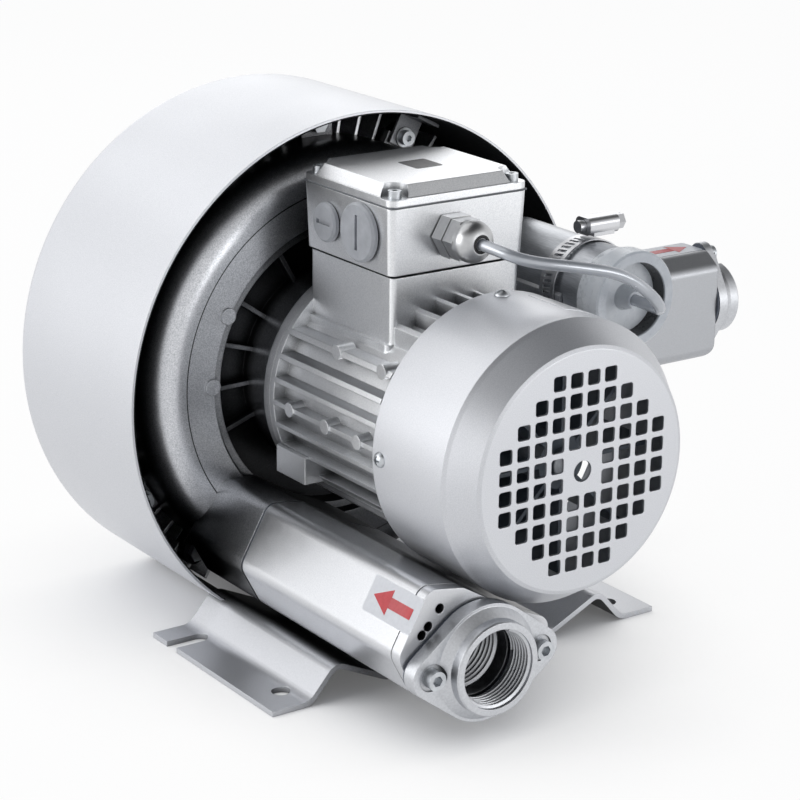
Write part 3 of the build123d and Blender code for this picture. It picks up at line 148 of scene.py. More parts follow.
world = bpy.data.worlds.new("studio")
bpy.context.scene.world = world
world.use_nodes = True
tree = world.node_tree
tree.nodes.clear()
way = node(tree, "ShaderNodeTexCoord").outputs["Generated"]
height = node(tree, "ShaderNodeSeparateXYZ", {0: way}).outputs["Z"]
ceiling = node(tree, "ShaderNodeMapRange", {0: height}, **{
    "From Min": WALL_TOP, "From Max": CEILING, "To Min": 1.0, "To Max": CEILING_LIGHT})
room = node(tree, "ShaderNodeBackground", Color=FILL_COLOUR, Strength=FILL_STRENGTH)
white = node(tree, "ShaderNodeBackground", {"Strength": ceiling.outputs[0]}, Color=(1, 1, 1, 1))
both = node(tree, "ShaderNodeMixShader", {0: background_rays(tree), 1: room.outputs[0], 2: white.outputs[0]})
node(tree, "ShaderNodeOutputWorld", {"Surface": both.outputs[0]})

# %% [markdown]
# ## Finishes
# Each finish is named for the real one. Colours are written as the hex values a painter would read off a chart,
# and one function turns them into the linear numbers that the shader wants. Patterns are sized in millimetres.

# %% Helpers for finishes
MM = 0.001


def colour(code):
    """Turns an sRGB hex value such as B4B5B8 into linear colour."""
    parts = [int(code[i:i + 2], 16) / 255 for i in (0, 2, 4)]
    linear = [c / 12.92 if c <= 0.04045 else ((c + 0.055) / 1.055) ** 2.4 for c in parts]
    return (*linear, 1.0)


def start_finish(name, code, metallic, roughness, **more):
    """A new material with one Principled shader. Gives (material, tree, shader, object coordinates)."""
    material = bpy.data.materials.new(name)
    material.use_nodes = True
    tree = material.node_tree
    tree.nodes.clear()
    shader = node(tree, "ShaderNodeBsdfPrincipled", **{
        "Base Color": colour(code), "Metallic": metallic, "Roughness": roughness, **more})
    node(tree, "ShaderNodeOutputMaterial", {"Surface": shader.outputs["BSDF"]})
    place = node(tree, "ShaderNodeTexCoord").outputs["Object"]
    return material, tree, shader, place


def tint(tree, shader, source, dark, light, low=0.3, high=0.7):
    """Colours the shader between two hex values by a grey source."""
    ramp = node(tree, "ShaderNodeMapRange", {0: source}, **{"From Min": low, "From Max": high})
    mix = node(tree, "ShaderNodeMix", {0: ramp.outputs[0]}, data_type="RGBA")
    mix.inputs[6].default_value = colour(dark)
    mix.inputs[7].default_value = colour(light)
    tree.links.new(mix.outputs[2], shader.inputs["Base Color"])


def vary(tree, shader, source, low, high):
    """Lets a grey source move the roughness between two values."""
    ramp = node(tree, "ShaderNodeMapRange", {0: source}, **{"To Min": low, "To Max": high})
    tree.links.new(ramp.outputs[0], shader.inputs["Roughness"])


def raise_grain(tree, shader, source, depth_mm, strength=1.0):
    """Turns a grey source into a bump of that depth."""
    bump = node(tree, "ShaderNodeBump", {"Height": source}, Distance=depth_mm * MM, Strength=strength)
    tree.links.new(bump.outputs[0], shader.inputs["Normal"])


def grain(tree, place, size_mm, detail=3.0, rough=0.55):
    """Noise whose lumps are about that many millimetres across."""
    return node(tree, "ShaderNodeTexNoise", {"Vector": place}, Scale=1 / (size_mm * MM),
                Detail=detail, Roughness=rough).outputs["Fac"]


def soften_edges(tree, shader, radius_mm):
    """Rounds the shading at sharp edges, so that they catch a thin line of light as cast edges do."""
    edge = node(tree, "ShaderNodeBevel", samples=4, Radius=radius_mm * MM)
    bump = next((n for n in tree.nodes if n.type == "BUMP"), None)
    tree.links.new(edge.outputs[0], bump.inputs["Normal"] if bump else shader.inputs["Normal"])


def off_axis(tree, place, middle, across=(1, 0, 1)):
    """Distance from a line through a point. The line runs along the one direction that isn't across."""
    moved = node(tree, "ShaderNodeVectorMath", {0: place}, operation="SUBTRACT")
    moved.inputs[1].default_value = middle
    flat = node(tree, "ShaderNodeVectorMath", {0: moved.outputs[0]}, operation="MULTIPLY")
    flat.inputs[1].default_value = across
    return node(tree, "ShaderNodeVectorMath", {0: flat.outputs[0]}, operation="LENGTH").outputs["Value"]


# %% [markdown]
# ### Painted shade in corners
# Corners, pockets and undersides get little light. Each function here finds such places in its own way and
# mixes a near black over the paint there as painted shade: by how near other surfaces are, by depth inside a
# round pocket, or by height above the floor.

# %% Painted shade in corners
PAINTED_SHADE_COLOUR = "0A0B0D"


def darken(material, share, code=PAINTED_SHADE_COLOUR):
    """Mixes a dark colour over the present one by a share."""
    tree = material.node_tree
    base = tree.nodes["Principled BSDF"].inputs["Base Color"]
    mix = node(tree, "ShaderNodeMix", {0: share, 6: base.links[0].from_socket}, data_type="RGBA")
    mix.inputs[7].default_value = colour(code)
    tree.links.new(mix.outputs[2], base)


def paint_corner_shade(material, reach_mm, amount, clear=0.62, span=0.5, code=PAINTED_SHADE_COLOUR):
    """Paints shade into corners and gaps. Points that see more open space than clear, as a share, get none."""
    tree = material.node_tree
    near = node(tree, "ShaderNodeAmbientOcclusion", samples=8, Distance=reach_mm * MM).outputs["AO"]
    ramp = node(tree, "ShaderNodeMapRange", {0: near}, **{
        "From Min": clear - span, "From Max": clear, "To Min": amount, "To Max": 0.0})
    darken(material, ramp.outputs[0], code)


def shade_round(material, middle, inner, outer, front_y, deep_y, amount):
    """Paints shade between two radii round a line along Y, more and more with depth."""
    tree = material.node_tree
    place = node(tree, "ShaderNodeTexCoord").outputs["Object"]
    depth = node(tree, "ShaderNodeSeparateXYZ", {0: place}).outputs["Y"]
    band = node(tree, "ShaderNodeMath", {0: off_axis(tree, place, middle)}, operation="COMPARE")
    band.inputs[1].default_value = (inner + outer) / 2
    band.inputs[2].default_value = (outer - inner) / 2
    deep = node(tree, "ShaderNodeMapRange", {0: depth}, **{
        "From Min": front_y, "From Max": deep_y, "To Min": 0.0, "To Max": amount})
    share = node(tree, "ShaderNodeMath", {0: band.outputs[0], 1: deep.outputs[0]}, operation="MULTIPLY")
    darken(material, share.outputs[0])


def shade_below(material, top_z, low_z, amount):
    """Paints shade from one height down to a lower one."""
    tree = material.node_tree
    place = node(tree, "ShaderNodeTexCoord").outputs["Object"]
    height = node(tree, "ShaderNodeSeparateXYZ", {0: place}).outputs["Z"]
    low = node(tree, "ShaderNodeMapRange", {0: height}, **{
        "From Min": low_z, "From Max": top_z, "To Min": amount, "To Max": 0.0})
    darken(material, low.outputs[0])


# %% [markdown]
# ### Silver paint on spun and pressed sheet
# The hood and the fan cowl are pressed from sheet and sprayed with a silver paint. Aluminium flakes in it give
# a soft metallic sheen with a very fine sparkle, and the sprayed film is a little wavy, which is called orange
# peel.

# %% Silver paint on sheet
def silver_sheet_paint(name):
    material, tree, shader, place = start_finish(
        name, "D3D5D8", 0.72, 0.40, **{"Coat Weight": 0.1, "Coat Roughness": 0.25})
    flakes = grain(tree, place, 0.5, 2.0)
    tint(tree, shader, flakes, "CACCD0", "D9DADE")
    cloud = grain(tree, place, 45.0, 2.0)
    vary(tree, shader, cloud, 0.37, 0.46)
    raise_grain(tree, shader, grain(tree, place, 3.0, 1.0), 0.006, 0.3)
    soften_edges(tree, shader, 0.6)
    return material


# %% [markdown]
# ### Painted shade inside the hood
# Inside, the drum is made near black with a matt, grainy coat: painted shade for the shade that falls deep in
# the drum. The same material shows paint or dark coat by place: the dark coat is where a point is closer to the
# motor's axis than the sheet's inner face and in front of the closed rear.

# %% Painted shade inside the hood
MOTOR_AXIS = (0, 0, AXIS_Z)
HOOD_INSIDE = 0.1457
HOOD_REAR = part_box("hood_shell")[1][1]
REAR_SKIN = 0.0005


def hood_paint_with_painted_shade():
    material = silver_sheet_paint("silver_paint_with_painted_inner_shade")
    tree = material.node_tree
    place = node(tree, "ShaderNodeTexCoord").outputs["Object"]
    inner = node(tree, "ShaderNodeMath", {0: off_axis(tree, place, MOTOR_AXIS)}, operation="LESS_THAN")
    inner.inputs[1].default_value = HOOD_INSIDE
    depth = node(tree, "ShaderNodeSeparateXYZ", {0: place}).outputs["Y"]
    ahead = node(tree, "ShaderNodeMath", {0: depth}, operation="LESS_THAN")
    ahead.inputs[1].default_value = HOOD_REAR - REAR_SKIN
    in_inner_shade = node(tree, "ShaderNodeMath", {0: inner.outputs[0], 1: ahead.outputs[0]}, operation="MULTIPLY")
    # The near black coat on the inner face is painted shade.
    inner_shade_shader = node(tree, "ShaderNodeBsdfPrincipled", **{
        "Base Color": colour("101114"), "Roughness": 0.8, "Specular IOR Level": 0.2})
    inner_grain = grain(tree, place, 2.0, 4.0)
    raise_grain(tree, inner_shade_shader, inner_grain, 0.4, 0.8)
    tint(tree, inner_shade_shader, inner_grain, "0B0C0E", "17181B")
    paint = tree.nodes["Principled BSDF"]
    mixed = node(tree, "ShaderNodeMixShader", {0: in_inner_shade.outputs[0], 1: paint.outputs[0], 2: inner_shade_shader.outputs[0]})
    tree.links.new(mixed.outputs[0], tree.nodes["Material Output"].inputs["Surface"])
    return material


# %% [markdown]
# ### Hammered silver paint on castings
# The stage castings have a coarser silver paint over the sand-blasted metal. Its grains are large enough to
# see, with darker pores between lighter flakes, and they break a highlight into a soft glitter.

# %% Hammered silver paint
def hammered_paint(name, dark, light, size_mm, depth_mm, low, high, reach_mm=14.0, clear=0.62):
    """Grains of size_mm between two colours, with painted shade in corners up to reach_mm from other surfaces.
    """
    material, tree, shader, place = start_finish(name, light, 0.92, high)
    fine = grain(tree, place, size_mm, 4.0, 0.7)
    tint(tree, shader, fine, dark, light, 0.36, 0.64)
    vary(tree, shader, grain(tree, place, size_mm * 9, 2.0), low, high)
    raise_grain(tree, shader, fine, depth_mm, 0.8)
    soften_edges(tree, shader, 0.7)
    # Painted shade in corners.
    paint_corner_shade(material, reach_mm, 0.97, clear)
    return material


# %% [markdown]
# ### Machined aluminium
# The port flanges are die cast and then turned on the faces. Turning leaves fine rings round the port's axis,
# so the pattern is a sine wave over the distance from that axis.

# %% Machined aluminium
def machined_aluminium(name, centre, across, ring_mm=0.35):
    """Rings round the line through centre. Across has a 0 for the way that the line runs."""
    material, tree, shader, place = start_finish(name, "C6C7C9", 1.0, 0.3)
    scaled = node(tree, "ShaderNodeMath", {0: off_axis(tree, place, centre, across)}, operation="MULTIPLY")
    scaled.inputs[1].default_value = 2 * math.pi / (ring_mm * MM)
    lines = node(tree, "ShaderNodeMath", {0: scaled.outputs[0]}, operation="SINE")
    spots = grain(tree, place, 1.2, 3.0)
    tint(tree, shader, spots, "BDBFC3", "CBCDD1")
    vary(tree, shader, grain(tree, place, 6.0, 2.0), 0.36, 0.44)
    raise_grain(tree, shader, lines.outputs[0], 0.002, 0.3)
    soften_edges(tree, shader, 0.5)
    # Painted shade darkens the corners.
    paint_corner_shade(material, 8.0, 0.9)
    return material


# %% [markdown]
# ### Plated and plain steel
# Screws are zinc plated: bright, slightly blue, with faint cloudy stains from the bath. Strip steel of the
# clamp is rolled, so its marks run along the strip. Sheet packs of the motor show the stack of thin sheets.

# %% Metals
def plated_steel(name, dark, light, low, high, cloud_mm=4.0):
    material, tree, shader, place = start_finish(name, light, 1.0, high)
    cloud = grain(tree, place, cloud_mm, 4.0, 0.65)
    tint(tree, shader, cloud, dark, light)
    vary(tree, shader, cloud, low, high)
    return material


def drawn_metal(name, dark, light, low, high, stretch, metallic=1.0, line_mm=0.25):
    """Metal with long fine marks: stretch is how many times longer they are along X, Y and Z."""
    material, tree, shader, place = start_finish(name, light, metallic, high)
    squeezed = node(tree, "ShaderNodeMapping", {"Vector": place}, Scale=[1 / s for s in stretch])
    marks = grain(tree, squeezed.outputs[0], line_mm, 3.0)
    tint(tree, shader, marks, dark, light)
    vary(tree, shader, marks, low, high)
    raise_grain(tree, shader, marks, 0.0025, 0.3)
    return material


# %% [markdown]
# ### Plastics, rubber and cable sheath
# Moulded plastics don't reflect like metal: they have a plain colour, a soft highlight and a fine spark-eroded
# grain from the mould. Rubber and foam are darker and rougher.

# %% Plastics
def moulded_plastic(name, dark, light, low, high, size_mm=0.35, depth_mm=0.015, **more):
    material, tree, shader, place = start_finish(name, light, 0.0, high, IOR=1.5, **more)
    fine = grain(tree, place, size_mm, 2.0)
    tint(tree, shader, grain(tree, place, size_mm * 20, 3.0), dark, light)
    vary(tree, shader, grain(tree, place, size_mm * 12, 2.0), low, high)
    raise_grain(tree, shader, fine, depth_mm, 0.5)
    return material


# %% [markdown]
# ## All finishes of the machine
# Every finish is made here once. The castings get extra shading for the thin groove turned into the flat ring,
# the pocket round the motor, and the underside. The ports and the can are the middles that some patterns go
# round.

# %% Middles of the ports and the can
INLET = (-0.052, -0.101, 0.042)
OUTLET = (0.192, 0.022, 0.164)
CAN = (0.090, 0.02, 0.191)

# %% Painted finishes
sheet_paint = silver_sheet_paint("silver_paint_on_sheet")
hood_paint = hood_paint_with_painted_shade()
# The base gets painted shade in its corners and underneath.
base_paint = silver_sheet_paint("silver_paint_on_base")
paint_corner_shade(base_paint, 60.0, 0.95, clear=0.55, span=0.35)

casting_paint = hammered_paint("hammered_silver_paint", "B3B6BB", "E3E4E8", size_mm=0.7, depth_mm=0.015,
                               low=0.28, high=0.38, reach_mm=40.0, clear=0.50)
# Painted shade on the castings: a thin dark line for the shade in a turned groove that the solid model lacks, a
# pocket round the motor that darkens inward, shade in corners, and darker paint below the motor.
shade_round(casting_paint, MOTOR_AXIS, inner=0.1026, outer=0.1033, front_y=0.1015, deep_y=0.1016, amount=0.9)
shade_round(casting_paint, MOTOR_AXIS, inner=0.0, outer=0.0880, front_y=0.1040, deep_y=0.1120, amount=0.9)
paint_corner_shade(casting_paint, 110.0, 0.85, clear=0.40, span=0.26)
shade_below(casting_paint, top_z=0.078, low_z=0.046, amount=0.88)

# The fins get a paler copy of the casting paint, a painted highlight for the light that catches them.
divider_paint = hammered_paint("hammered_silver_paint_on_fins", "C4C6CA", "ECEDEF", size_mm=0.7, depth_mm=0.015,
                               low=0.30, high=0.40, reach_mm=5.0, clear=0.5)
housing_paint = hammered_paint("silver_paint_on_die_casting", "D6D8DB", "ECEDEF", size_mm=0.6, depth_mm=0.008,
                               low=0.32, high=0.42, reach_mm=14.0, clear=0.5)
tube_paint = hammered_paint("silver_paint_on_extrusion", "C9CBCF", "DEDFE2", size_mm=0.45, depth_mm=0.004,
                            low=0.28, high=0.36, reach_mm=45.0, clear=0.6)
block_paint = hammered_paint("silver_paint_on_silencer_box", "A2A4A8", "B5B7BB", size_mm=0.45, depth_mm=0.004,
                             low=0.34, high=0.42)
# The tabs get a darker copy of the paint as painted shade inside the hood, with painted shade in corners too.
tab_paint = hammered_paint("silver_paint_on_tabs", "9A9CA1", "B4B6BA", size_mm=0.6, depth_mm=0.006,
                           low=0.36, high=0.46, reach_mm=30.0, clear=0.6)

# %% Metal finishes
inlet_metal = machined_aluminium("turned_aluminium_inlet", INLET, across=(1, 0, 1))
outlet_metal = machined_aluminium("turned_aluminium_outlet", OUTLET, across=(0, 1, 1))
vane_metal = drawn_metal("cast_aluminium_discs", "A9ABAE", "C3C5C8", 0.30, 0.45, (1, 1, 1))
zinc = plated_steel("zinc_plated_steel", "B4B8BC", "CBCED2", 0.34, 0.44)
steel_strip = drawn_metal("rolled_stainless_strip", "BDBEC1", "D0D1D4", 0.26, 0.34, (1, 12, 1))
shaft_steel = plated_steel("turned_shaft_steel", "8E9196", "A6A9AE", 0.40, 0.50)
ground_steel = plated_steel("ground_bearing_steel", "B5B6B8", "D0D1D3", 0.10, 0.18)
core_sheets = drawn_metal("stacked_core_sheets", "4F5155", "7A7C80", 0.4, 0.55, (12, 1, 12))
winding = drawn_metal("enamelled_copper", "7E3F1C", "B4693A", 0.3, 0.45, (1, 1, 8), 0.7, 0.5)
nickel = plated_steel("nickel_plated_brass", "B6B7B9", "C4C5C6", 0.30, 0.36, 6.0)
brass = plated_steel("turned_brass", "9C7A3C", "C6A35C", 0.2, 0.32)
can_metal = drawn_metal("drawn_aluminium_can", "A4A7AC", "BFC2C7", 0.28, 0.38, (1, 14, 1), 0.85, 0.5)

# %% Plastic and rubber finishes
cap_plastic = moulded_plastic("light_grey_nylon", "DADEE2", "E8EBEE", 0.24, 0.32)
# The cap's recess gets painted shade: near black in its corners and on the inner wall of the recess.
paint_corner_shade(cap_plastic, 9.0, 0.95, clear=0.5, code="0E1014")
shade_round(cap_plastic, CAN, inner=0.01945, outer=0.02065, front_y=-0.0357, deep_y=-0.0345, amount=0.97)
grey_plastic = moulded_plastic("silver_grey_nylon", "A6A8AC", "B7B9BD", 0.36, 0.48)
fan_plastic = moulded_plastic("blue_grey_polypropylene", "5C646D", "6B737C", 0.28, 0.38)
board = moulded_plastic("phenolic_moulding", "1C1512", "2A211C", 0.4, 0.5)
sheath = moulded_plastic("silver_grey_cable_sheath", "B4B8BE", "C4C7CC", 0.22, 0.30, 0.8, 0.005, Metallic=0.45)
gasket = moulded_plastic("fibre_gasket", "5C616B", "707580", 0.55, 0.7, 0.5, 0.03)
rubber = moulded_plastic("grey_rubber", "6D7074", "7E8185", 0.5, 0.65, 0.5, 0.01)
foam = moulded_plastic("open_cell_foam", "18191B", "2B2C2F", 0.85, 0.95, 1.6, 0.8)

# %% [markdown]
# ## Who gets which finish
# The table names the nodes of the solid model by finish. A material is linked to the object's slot rather than
# to its mesh, because the meshes aren't to be changed.

# %% Give the finishes to the CAD nodes
FINISHES = {
    hood_paint: ["hood_shell"],
    base_paint: ["base_bracket"],
    sheet_paint: ["fan_cowl"],
    divider_paint: ["stage_divider"],
    casting_paint: ["motor_side_housing", "housing_cover", "outlet_duct"],
    housing_paint: ["motor_frame", "drive_end_shield", "fan_end_shield", "terminal_box_base",
                    "terminal_box_lid"],
    tube_paint: ["inlet_silencer_tube"],
    block_paint: ["outlet_silencer"],
    inlet_metal: ["inlet_port_flange"],
    outlet_metal: ["outlet_port_flange", "capacitor_saddle"],
    vane_metal: ["impeller_stage_1", "impeller_stage_2"],
    tab_paint: ["hood_tabs"],
    zinc: ["hood_screws", "housing_bolts", "impeller_nut", "cowl_screws", "lid_screws",
           "inlet_flange_bolts", "outlet_flange_bolts", "base_screws"],
    steel_strip: ["clamp_band", "clamp_housing", "clamp_screw"],
    shaft_steel: ["rotor_shaft"],
    ground_steel: ["impeller_spacer", "shaft_keys", "drive_end_bearing_outer",
                   "drive_end_bearing_inner", "drive_end_ball_set", "fan_end_bearing_outer",
                   "fan_end_bearing_inner", "fan_end_ball_set"],
    core_sheets: ["rotor_core", "stator_core"],
    winding: ["stator_windings"],
    nickel: ["gland_body", "gland_dome"],
    brass: ["terminal_studs"],
    can_metal: ["capacitor_can"],
    cap_plastic: ["capacitor_cap"],
    grey_plastic: ["large_blanking_plug", "small_blanking_plug"],
    fan_plastic: ["cooling_fan"],
    board: ["terminal_board"],
    sheath: ["capacitor_lead"],
    gasket: ["inlet_seam_gasket", "inlet_flange_gasket", "outlet_flange_gasket"],
    rubber: ["lid_gasket"],
    foam: ["inlet_silencer_foam"],
}
given = set()
for material, names in FINISHES.items():
    for name in names:
        for holder in nodes[name].material_slots:
            holder.link = "OBJECT"
            holder.material = material
        given.add(name)
print("nodes without a finish:", sorted(set(nodes) - given))

# %% [markdown]
# ## The capacitor's cable
# One round cable runs from the gland on the box to the cap of the capacitor. It is a NURBS curve, whose line is
# pulled smoothly toward a few control points, with a round bevel for its thickness.

# %% Cable
LEAD_RADIUS = 0.0031
LEAD_ROUTE = [
    (-0.006, -0.016, 0.2327), (-0.006, -0.036, 0.2327), (0.003, -0.053, 0.2280), (0.030, -0.062, 0.2235),
    (0.056, -0.066, 0.2170), (0.075, -0.067, 0.2030), (0.0860, -0.062, 0.1920), (0.090, -0.048, 0.191),
    (0.090, -0.030, 0.191),
]


def nurbs_cable(name, route, radius, material):
    """A smooth round cable along a few control points."""
    curve = bpy.data.curves.new(name, "CURVE")
    curve.dimensions = "3D"
    curve.bevel_depth = radius
    curve.bevel_resolution = 6
    curve.use_fill_caps = True
    spline = curve.splines.new("NURBS")
    spline.points.add(len(route) - 1)
    for point, place in zip(spline.points, route):
        point.co = (*place, 1.0)
    spline.order_u = 3
    spline.use_endpoint_u = True
    spline.resolution_u = 16
    cable = bpy.data.objects.new(name, curve)
    bpy.context.scene.collection.objects.link(cable)
    curve.materials.append(material)
    return cable


def spline_length(cable):
    """Length of a cable's middle line."""
    bare = cable.data.copy()
    bare.bevel_depth = 0
    probe = bpy.data.objects.new("probe", bare)
    bpy.context.scene.collection.objects.link(probe)
    mesh = bpy.data.meshes.new_from_object(probe.evaluated_get(bpy.context.evaluated_depsgraph_get()))
    total = sum((mesh.vertices[e.vertices[0]].co - mesh.vertices[e.vertices[1]].co).length
                for e in mesh.edges)
    bpy.data.objects.remove(probe)
    bpy.data.meshes.remove(mesh)
    return total


lead = nurbs_cable("lead_cable", LEAD_ROUTE, LEAD_RADIUS, sheath)
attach(lead, "base")
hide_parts("capacitor_lead")
lead_length = spline_length(lead)
print("cable length", round(lead_length, 4))

# %% [markdown]
# ## How the small pieces are made
# The parts that the solid model leaves plain are modelled here as by hand: a primitive is added, shaped in edit
# mode, and finished with modifiers that are applied. At the end its place is baked into its mesh, so the object
# sits at the origin and patterns on object coordinates stay put.

# %% Helpers for modelling
def begin(name, add, **settings):
    """Adds one primitive with nothing else selected, and gives its object."""
    bpy.ops.object.select_all(action="DESELECT")
    add(**settings)
    piece = bpy.context.active_object
    piece.name = name
    return piece


def only(piece):
    """Makes one object the selected and active one."""
    bpy.ops.object.select_all(action="DESELECT")
    piece.select_set(True)
    bpy.context.view_layer.objects.active = piece


def pick(piece, kind, test):
    """In edit mode, selects the vertices, edges or faces whose middle passes a test."""
    bpy.ops.mesh.select_mode(type={"verts": "VERT", "edges": "EDGE", "faces": "FACE"}[kind])
    bpy.ops.mesh.select_all(action="DESELECT")
    mesh = bmesh.from_edit_mesh(piece.data)
    for part in getattr(mesh, kind):
        middle = part.co if kind == "verts" else (
            part.calc_center_median() if kind == "faces" else (part.verts[0].co + part.verts[1].co) / 2)
        part.select = bool(test(middle, part))
    mesh.select_flush_mode()
    bmesh.update_edit_mesh(piece.data)


def edit(on=True):
    bpy.ops.object.mode_set(mode="EDIT" if on else "OBJECT")


def apply_modifier(piece, kind, **settings):
    """Adds one modifier with its settings and applies it."""
    only(piece)
    modifier = piece.modifiers.new(kind.lower(), kind)
    for key, value in settings.items():
        setattr(modifier, key, value)
    bpy.ops.object.modifier_apply(modifier=modifier.name)


def finish_piece(piece, material, body="base", smooth=35.0):
    """Bakes the piece's place into its mesh, turns its faces outwards, and gives it finish and body."""
    only(piece)
    bpy.ops.object.transform_apply(location=True, rotation=True, scale=True)
    edit()
    bpy.ops.mesh.select_all(action="SELECT")
    bpy.ops.mesh.remove_doubles(threshold=1e-6)
    bpy.ops.mesh.normals_make_consistent(inside=False)
    edit(False)
    bpy.ops.object.shade_smooth_by_angle(angle=math.radians(smooth))
    piece.data.materials.clear()
    piece.data.materials.append(material)
    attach(piece, body)
    print(piece.name, "faces:", len(piece.data.polygons))
    return piece


# %% [markdown]
# Two starts are needed more than once: a thin sheet with rounded corners, and a short line along Y that an
# operator then spins round an axis into a bent plate or a ring.

# %% Starts for sheets and rings
CORNER_RADIUS = 0.0015


def rounded_sheet(name, length, width, thickness, lift=0.0):
    """A thin flat sheet in X and Y with rounded corners. Its underside is at the height lift."""
    sheet = begin(name, bpy.ops.mesh.primitive_plane_add, size=1.0, location=(0, 0, lift))
    sheet.scale = (length, width, 1)
    bpy.ops.object.transform_apply(location=True, rotation=True, scale=True)
    edit()
    bpy.ops.mesh.select_all(action="SELECT")
    bpy.ops.mesh.bevel(offset=CORNER_RADIUS, segments=4, affect="VERTICES")
    edit(False)
    apply_modifier(sheet, "SOLIDIFY", thickness=thickness, offset=1)
    return sheet


def line_along_y(name, centre, radius, angle, ends):
    """A line at a radius from a centre, left in edit mode. The angle is in degrees, 90 is the top."""
    line = begin(name, bpy.ops.mesh.primitive_plane_add, size=1.0)
    edit()
    bpy.ops.mesh.delete(type="ONLY_FACE")
    pick(line, "verts", lambda middle, v: middle.x > 0)
    bpy.ops.mesh.delete(type="VERT")
    pick(line, "verts", lambda middle, v: True)
    mesh = bmesh.from_edit_mesh(line.data)
    turned = math.radians(angle)
    for vertex, y in zip(mesh.verts, ends):
        vertex.co = (centre[0] + radius * math.cos(turned), centre[1] + y,
                     centre[2] + radius * math.sin(turned))
    bmesh.update_edit_mesh(line.data)
    return line


# %% [markdown]
# ## Threads of the two ports
# A pipe screws into each port, so the bore has an inside thread. A thread is one small profile that climbs as
# it goes round, which is what the Screw modifier does. The profile's root goes a hair into the bore's wall, so
# that no gap shows, and its crest is narrower than its root. A size is written as outer radius, inner radius
# and pitch. The pipe threads G 1 1/4 and G 1 both have 11 turns to the inch.

# %% Threads
G_1_1_4 = (0.020955, 0.019476, 0.002309)
G_1 = (0.0166245, 0.0151455, 0.002309)
ALONG_Y = (math.pi / 2, 0, 0)
ALONG_X = (0, math.pi / 2, 0)
INTO_WALL = 0.00004
ROOT_WIDTH, CREST_SHARE = 0.9, 0.22
PLAIN_ENDS = 1.6
STEPS_PER_TURN = 72


def inside_thread(name, centre, length, sizes, turn, material):
    """Ridge of an inside thread, made round +Z and then turned to the port's axis."""
    major, minor, pitch = sizes
    turns = (length - PLAIN_ENDS * pitch) / pitch
    start = -turns * pitch / 2
    deep = major - minor
    profile = begin(name, bpy.ops.mesh.primitive_plane_add, size=1.0,
                    rotation=(math.pi / 2, 0, 0), location=(major - deep / 2 + INTO_WALL, 0, start))
    profile.scale = (deep + 2 * INTO_WALL, ROOT_WIDTH * pitch, 1)
    only(profile)
    bpy.ops.object.transform_apply(location=True, rotation=True, scale=True)
    edit()
    pick(profile, "verts", lambda middle, v: middle.x < major - deep / 2)
    bpy.ops.transform.resize(value=(1, 1, CREST_SHARE), center_override=(minor, 0, start))
    bpy.ops.mesh.select_all(action="SELECT")
    bpy.ops.mesh.delete(type="ONLY_FACE")
    edit(False)
    steps = int(turns * STEPS_PER_TURN)
    apply_modifier(profile, "SCREW", axis="Z", angle=turns * 2 * math.pi, screw_offset=turns * pitch,
                   steps=steps, render_steps=steps, use_smooth_shade=True)
    edit()
    bpy.ops.mesh.select_all(action="SELECT")
    bpy.ops.mesh.fill_holes(sides=8)
    edit(False)
    profile.rotation_euler = turn
    profile.location = centre
    return finish_piece(profile, material, smooth=40)


inside_thread("inlet_thread", INLET, length=0.018, sizes=G_1_1_4, turn=ALONG_Y, material=inlet_metal)
inside_thread("outlet_thread", OUTLET, length=0.014, sizes=G_1, turn=ALONG_X, material=outlet_metal)

# %% [markdown]
# ### Ribbed lining behind the inlet
# Behind the flange the tube's own bore has coarser ribs, which can be seen past the first thread.

# %% Ribbed lining
RIBS = (0.019955, 0.0184, 0.0030)
RIBS_Y = -0.0725

inside_thread("tube_ribs", (INLET[0], RIBS_Y, INLET[2]), length=0.024, sizes=RIBS, turn=ALONG_Y,
              material=inlet_metal)

# %% [markdown]
# ## Red flow arrows
# A printed film arrow on each silencer shows which way the air goes. An arrow is a strip whose end is pulled
# out wider and then drawn to a point. A pale film, a little larger, lies under it.

# %% Flow arrows
FILM_THICKNESS, FILM_LIFT = 0.00006, 0.00006
ARROW_THICKNESS, ARROW_LIFT = 0.00008, 0.00018
HEAD_SHARE, SHAFT_SHARE = 0.42, 0.42
POINT_SHARE = 0.02


def printed_film(name, dark, light, rough):
    material, tree, shader, place = start_finish(name, light, 0.0, rough, IOR=1.49)
    tint(tree, shader, grain(tree, place, 2.5, 3.0), dark, light)
    vary(tree, shader, grain(tree, place, 6.0, 2.0), rough - 0.05, rough + 0.08)
    raise_grain(tree, shader, grain(tree, place, 0.6, 1.0), 0.004, 0.3)
    return material


red_film = printed_film("red_printed_film", "C6383F", "D2444A", 0.34)
clear_film = printed_film("pale_carrier_film", "E2E3E6", "EAEBEE", 0.34)


def lay_on(piece, place, along, out):
    """Turns a flat piece drawn in X and Y so that +X lies along one way and +Z points out of the surface."""
    x = Vector(along).normalized()
    z = Vector(out).normalized()
    x = (x - z * x.dot(z)).normalized()
    y = z.cross(x)
    piece.matrix_world = Matrix.Translation(place) @ Matrix((x, y, z)).transposed().to_4x4()


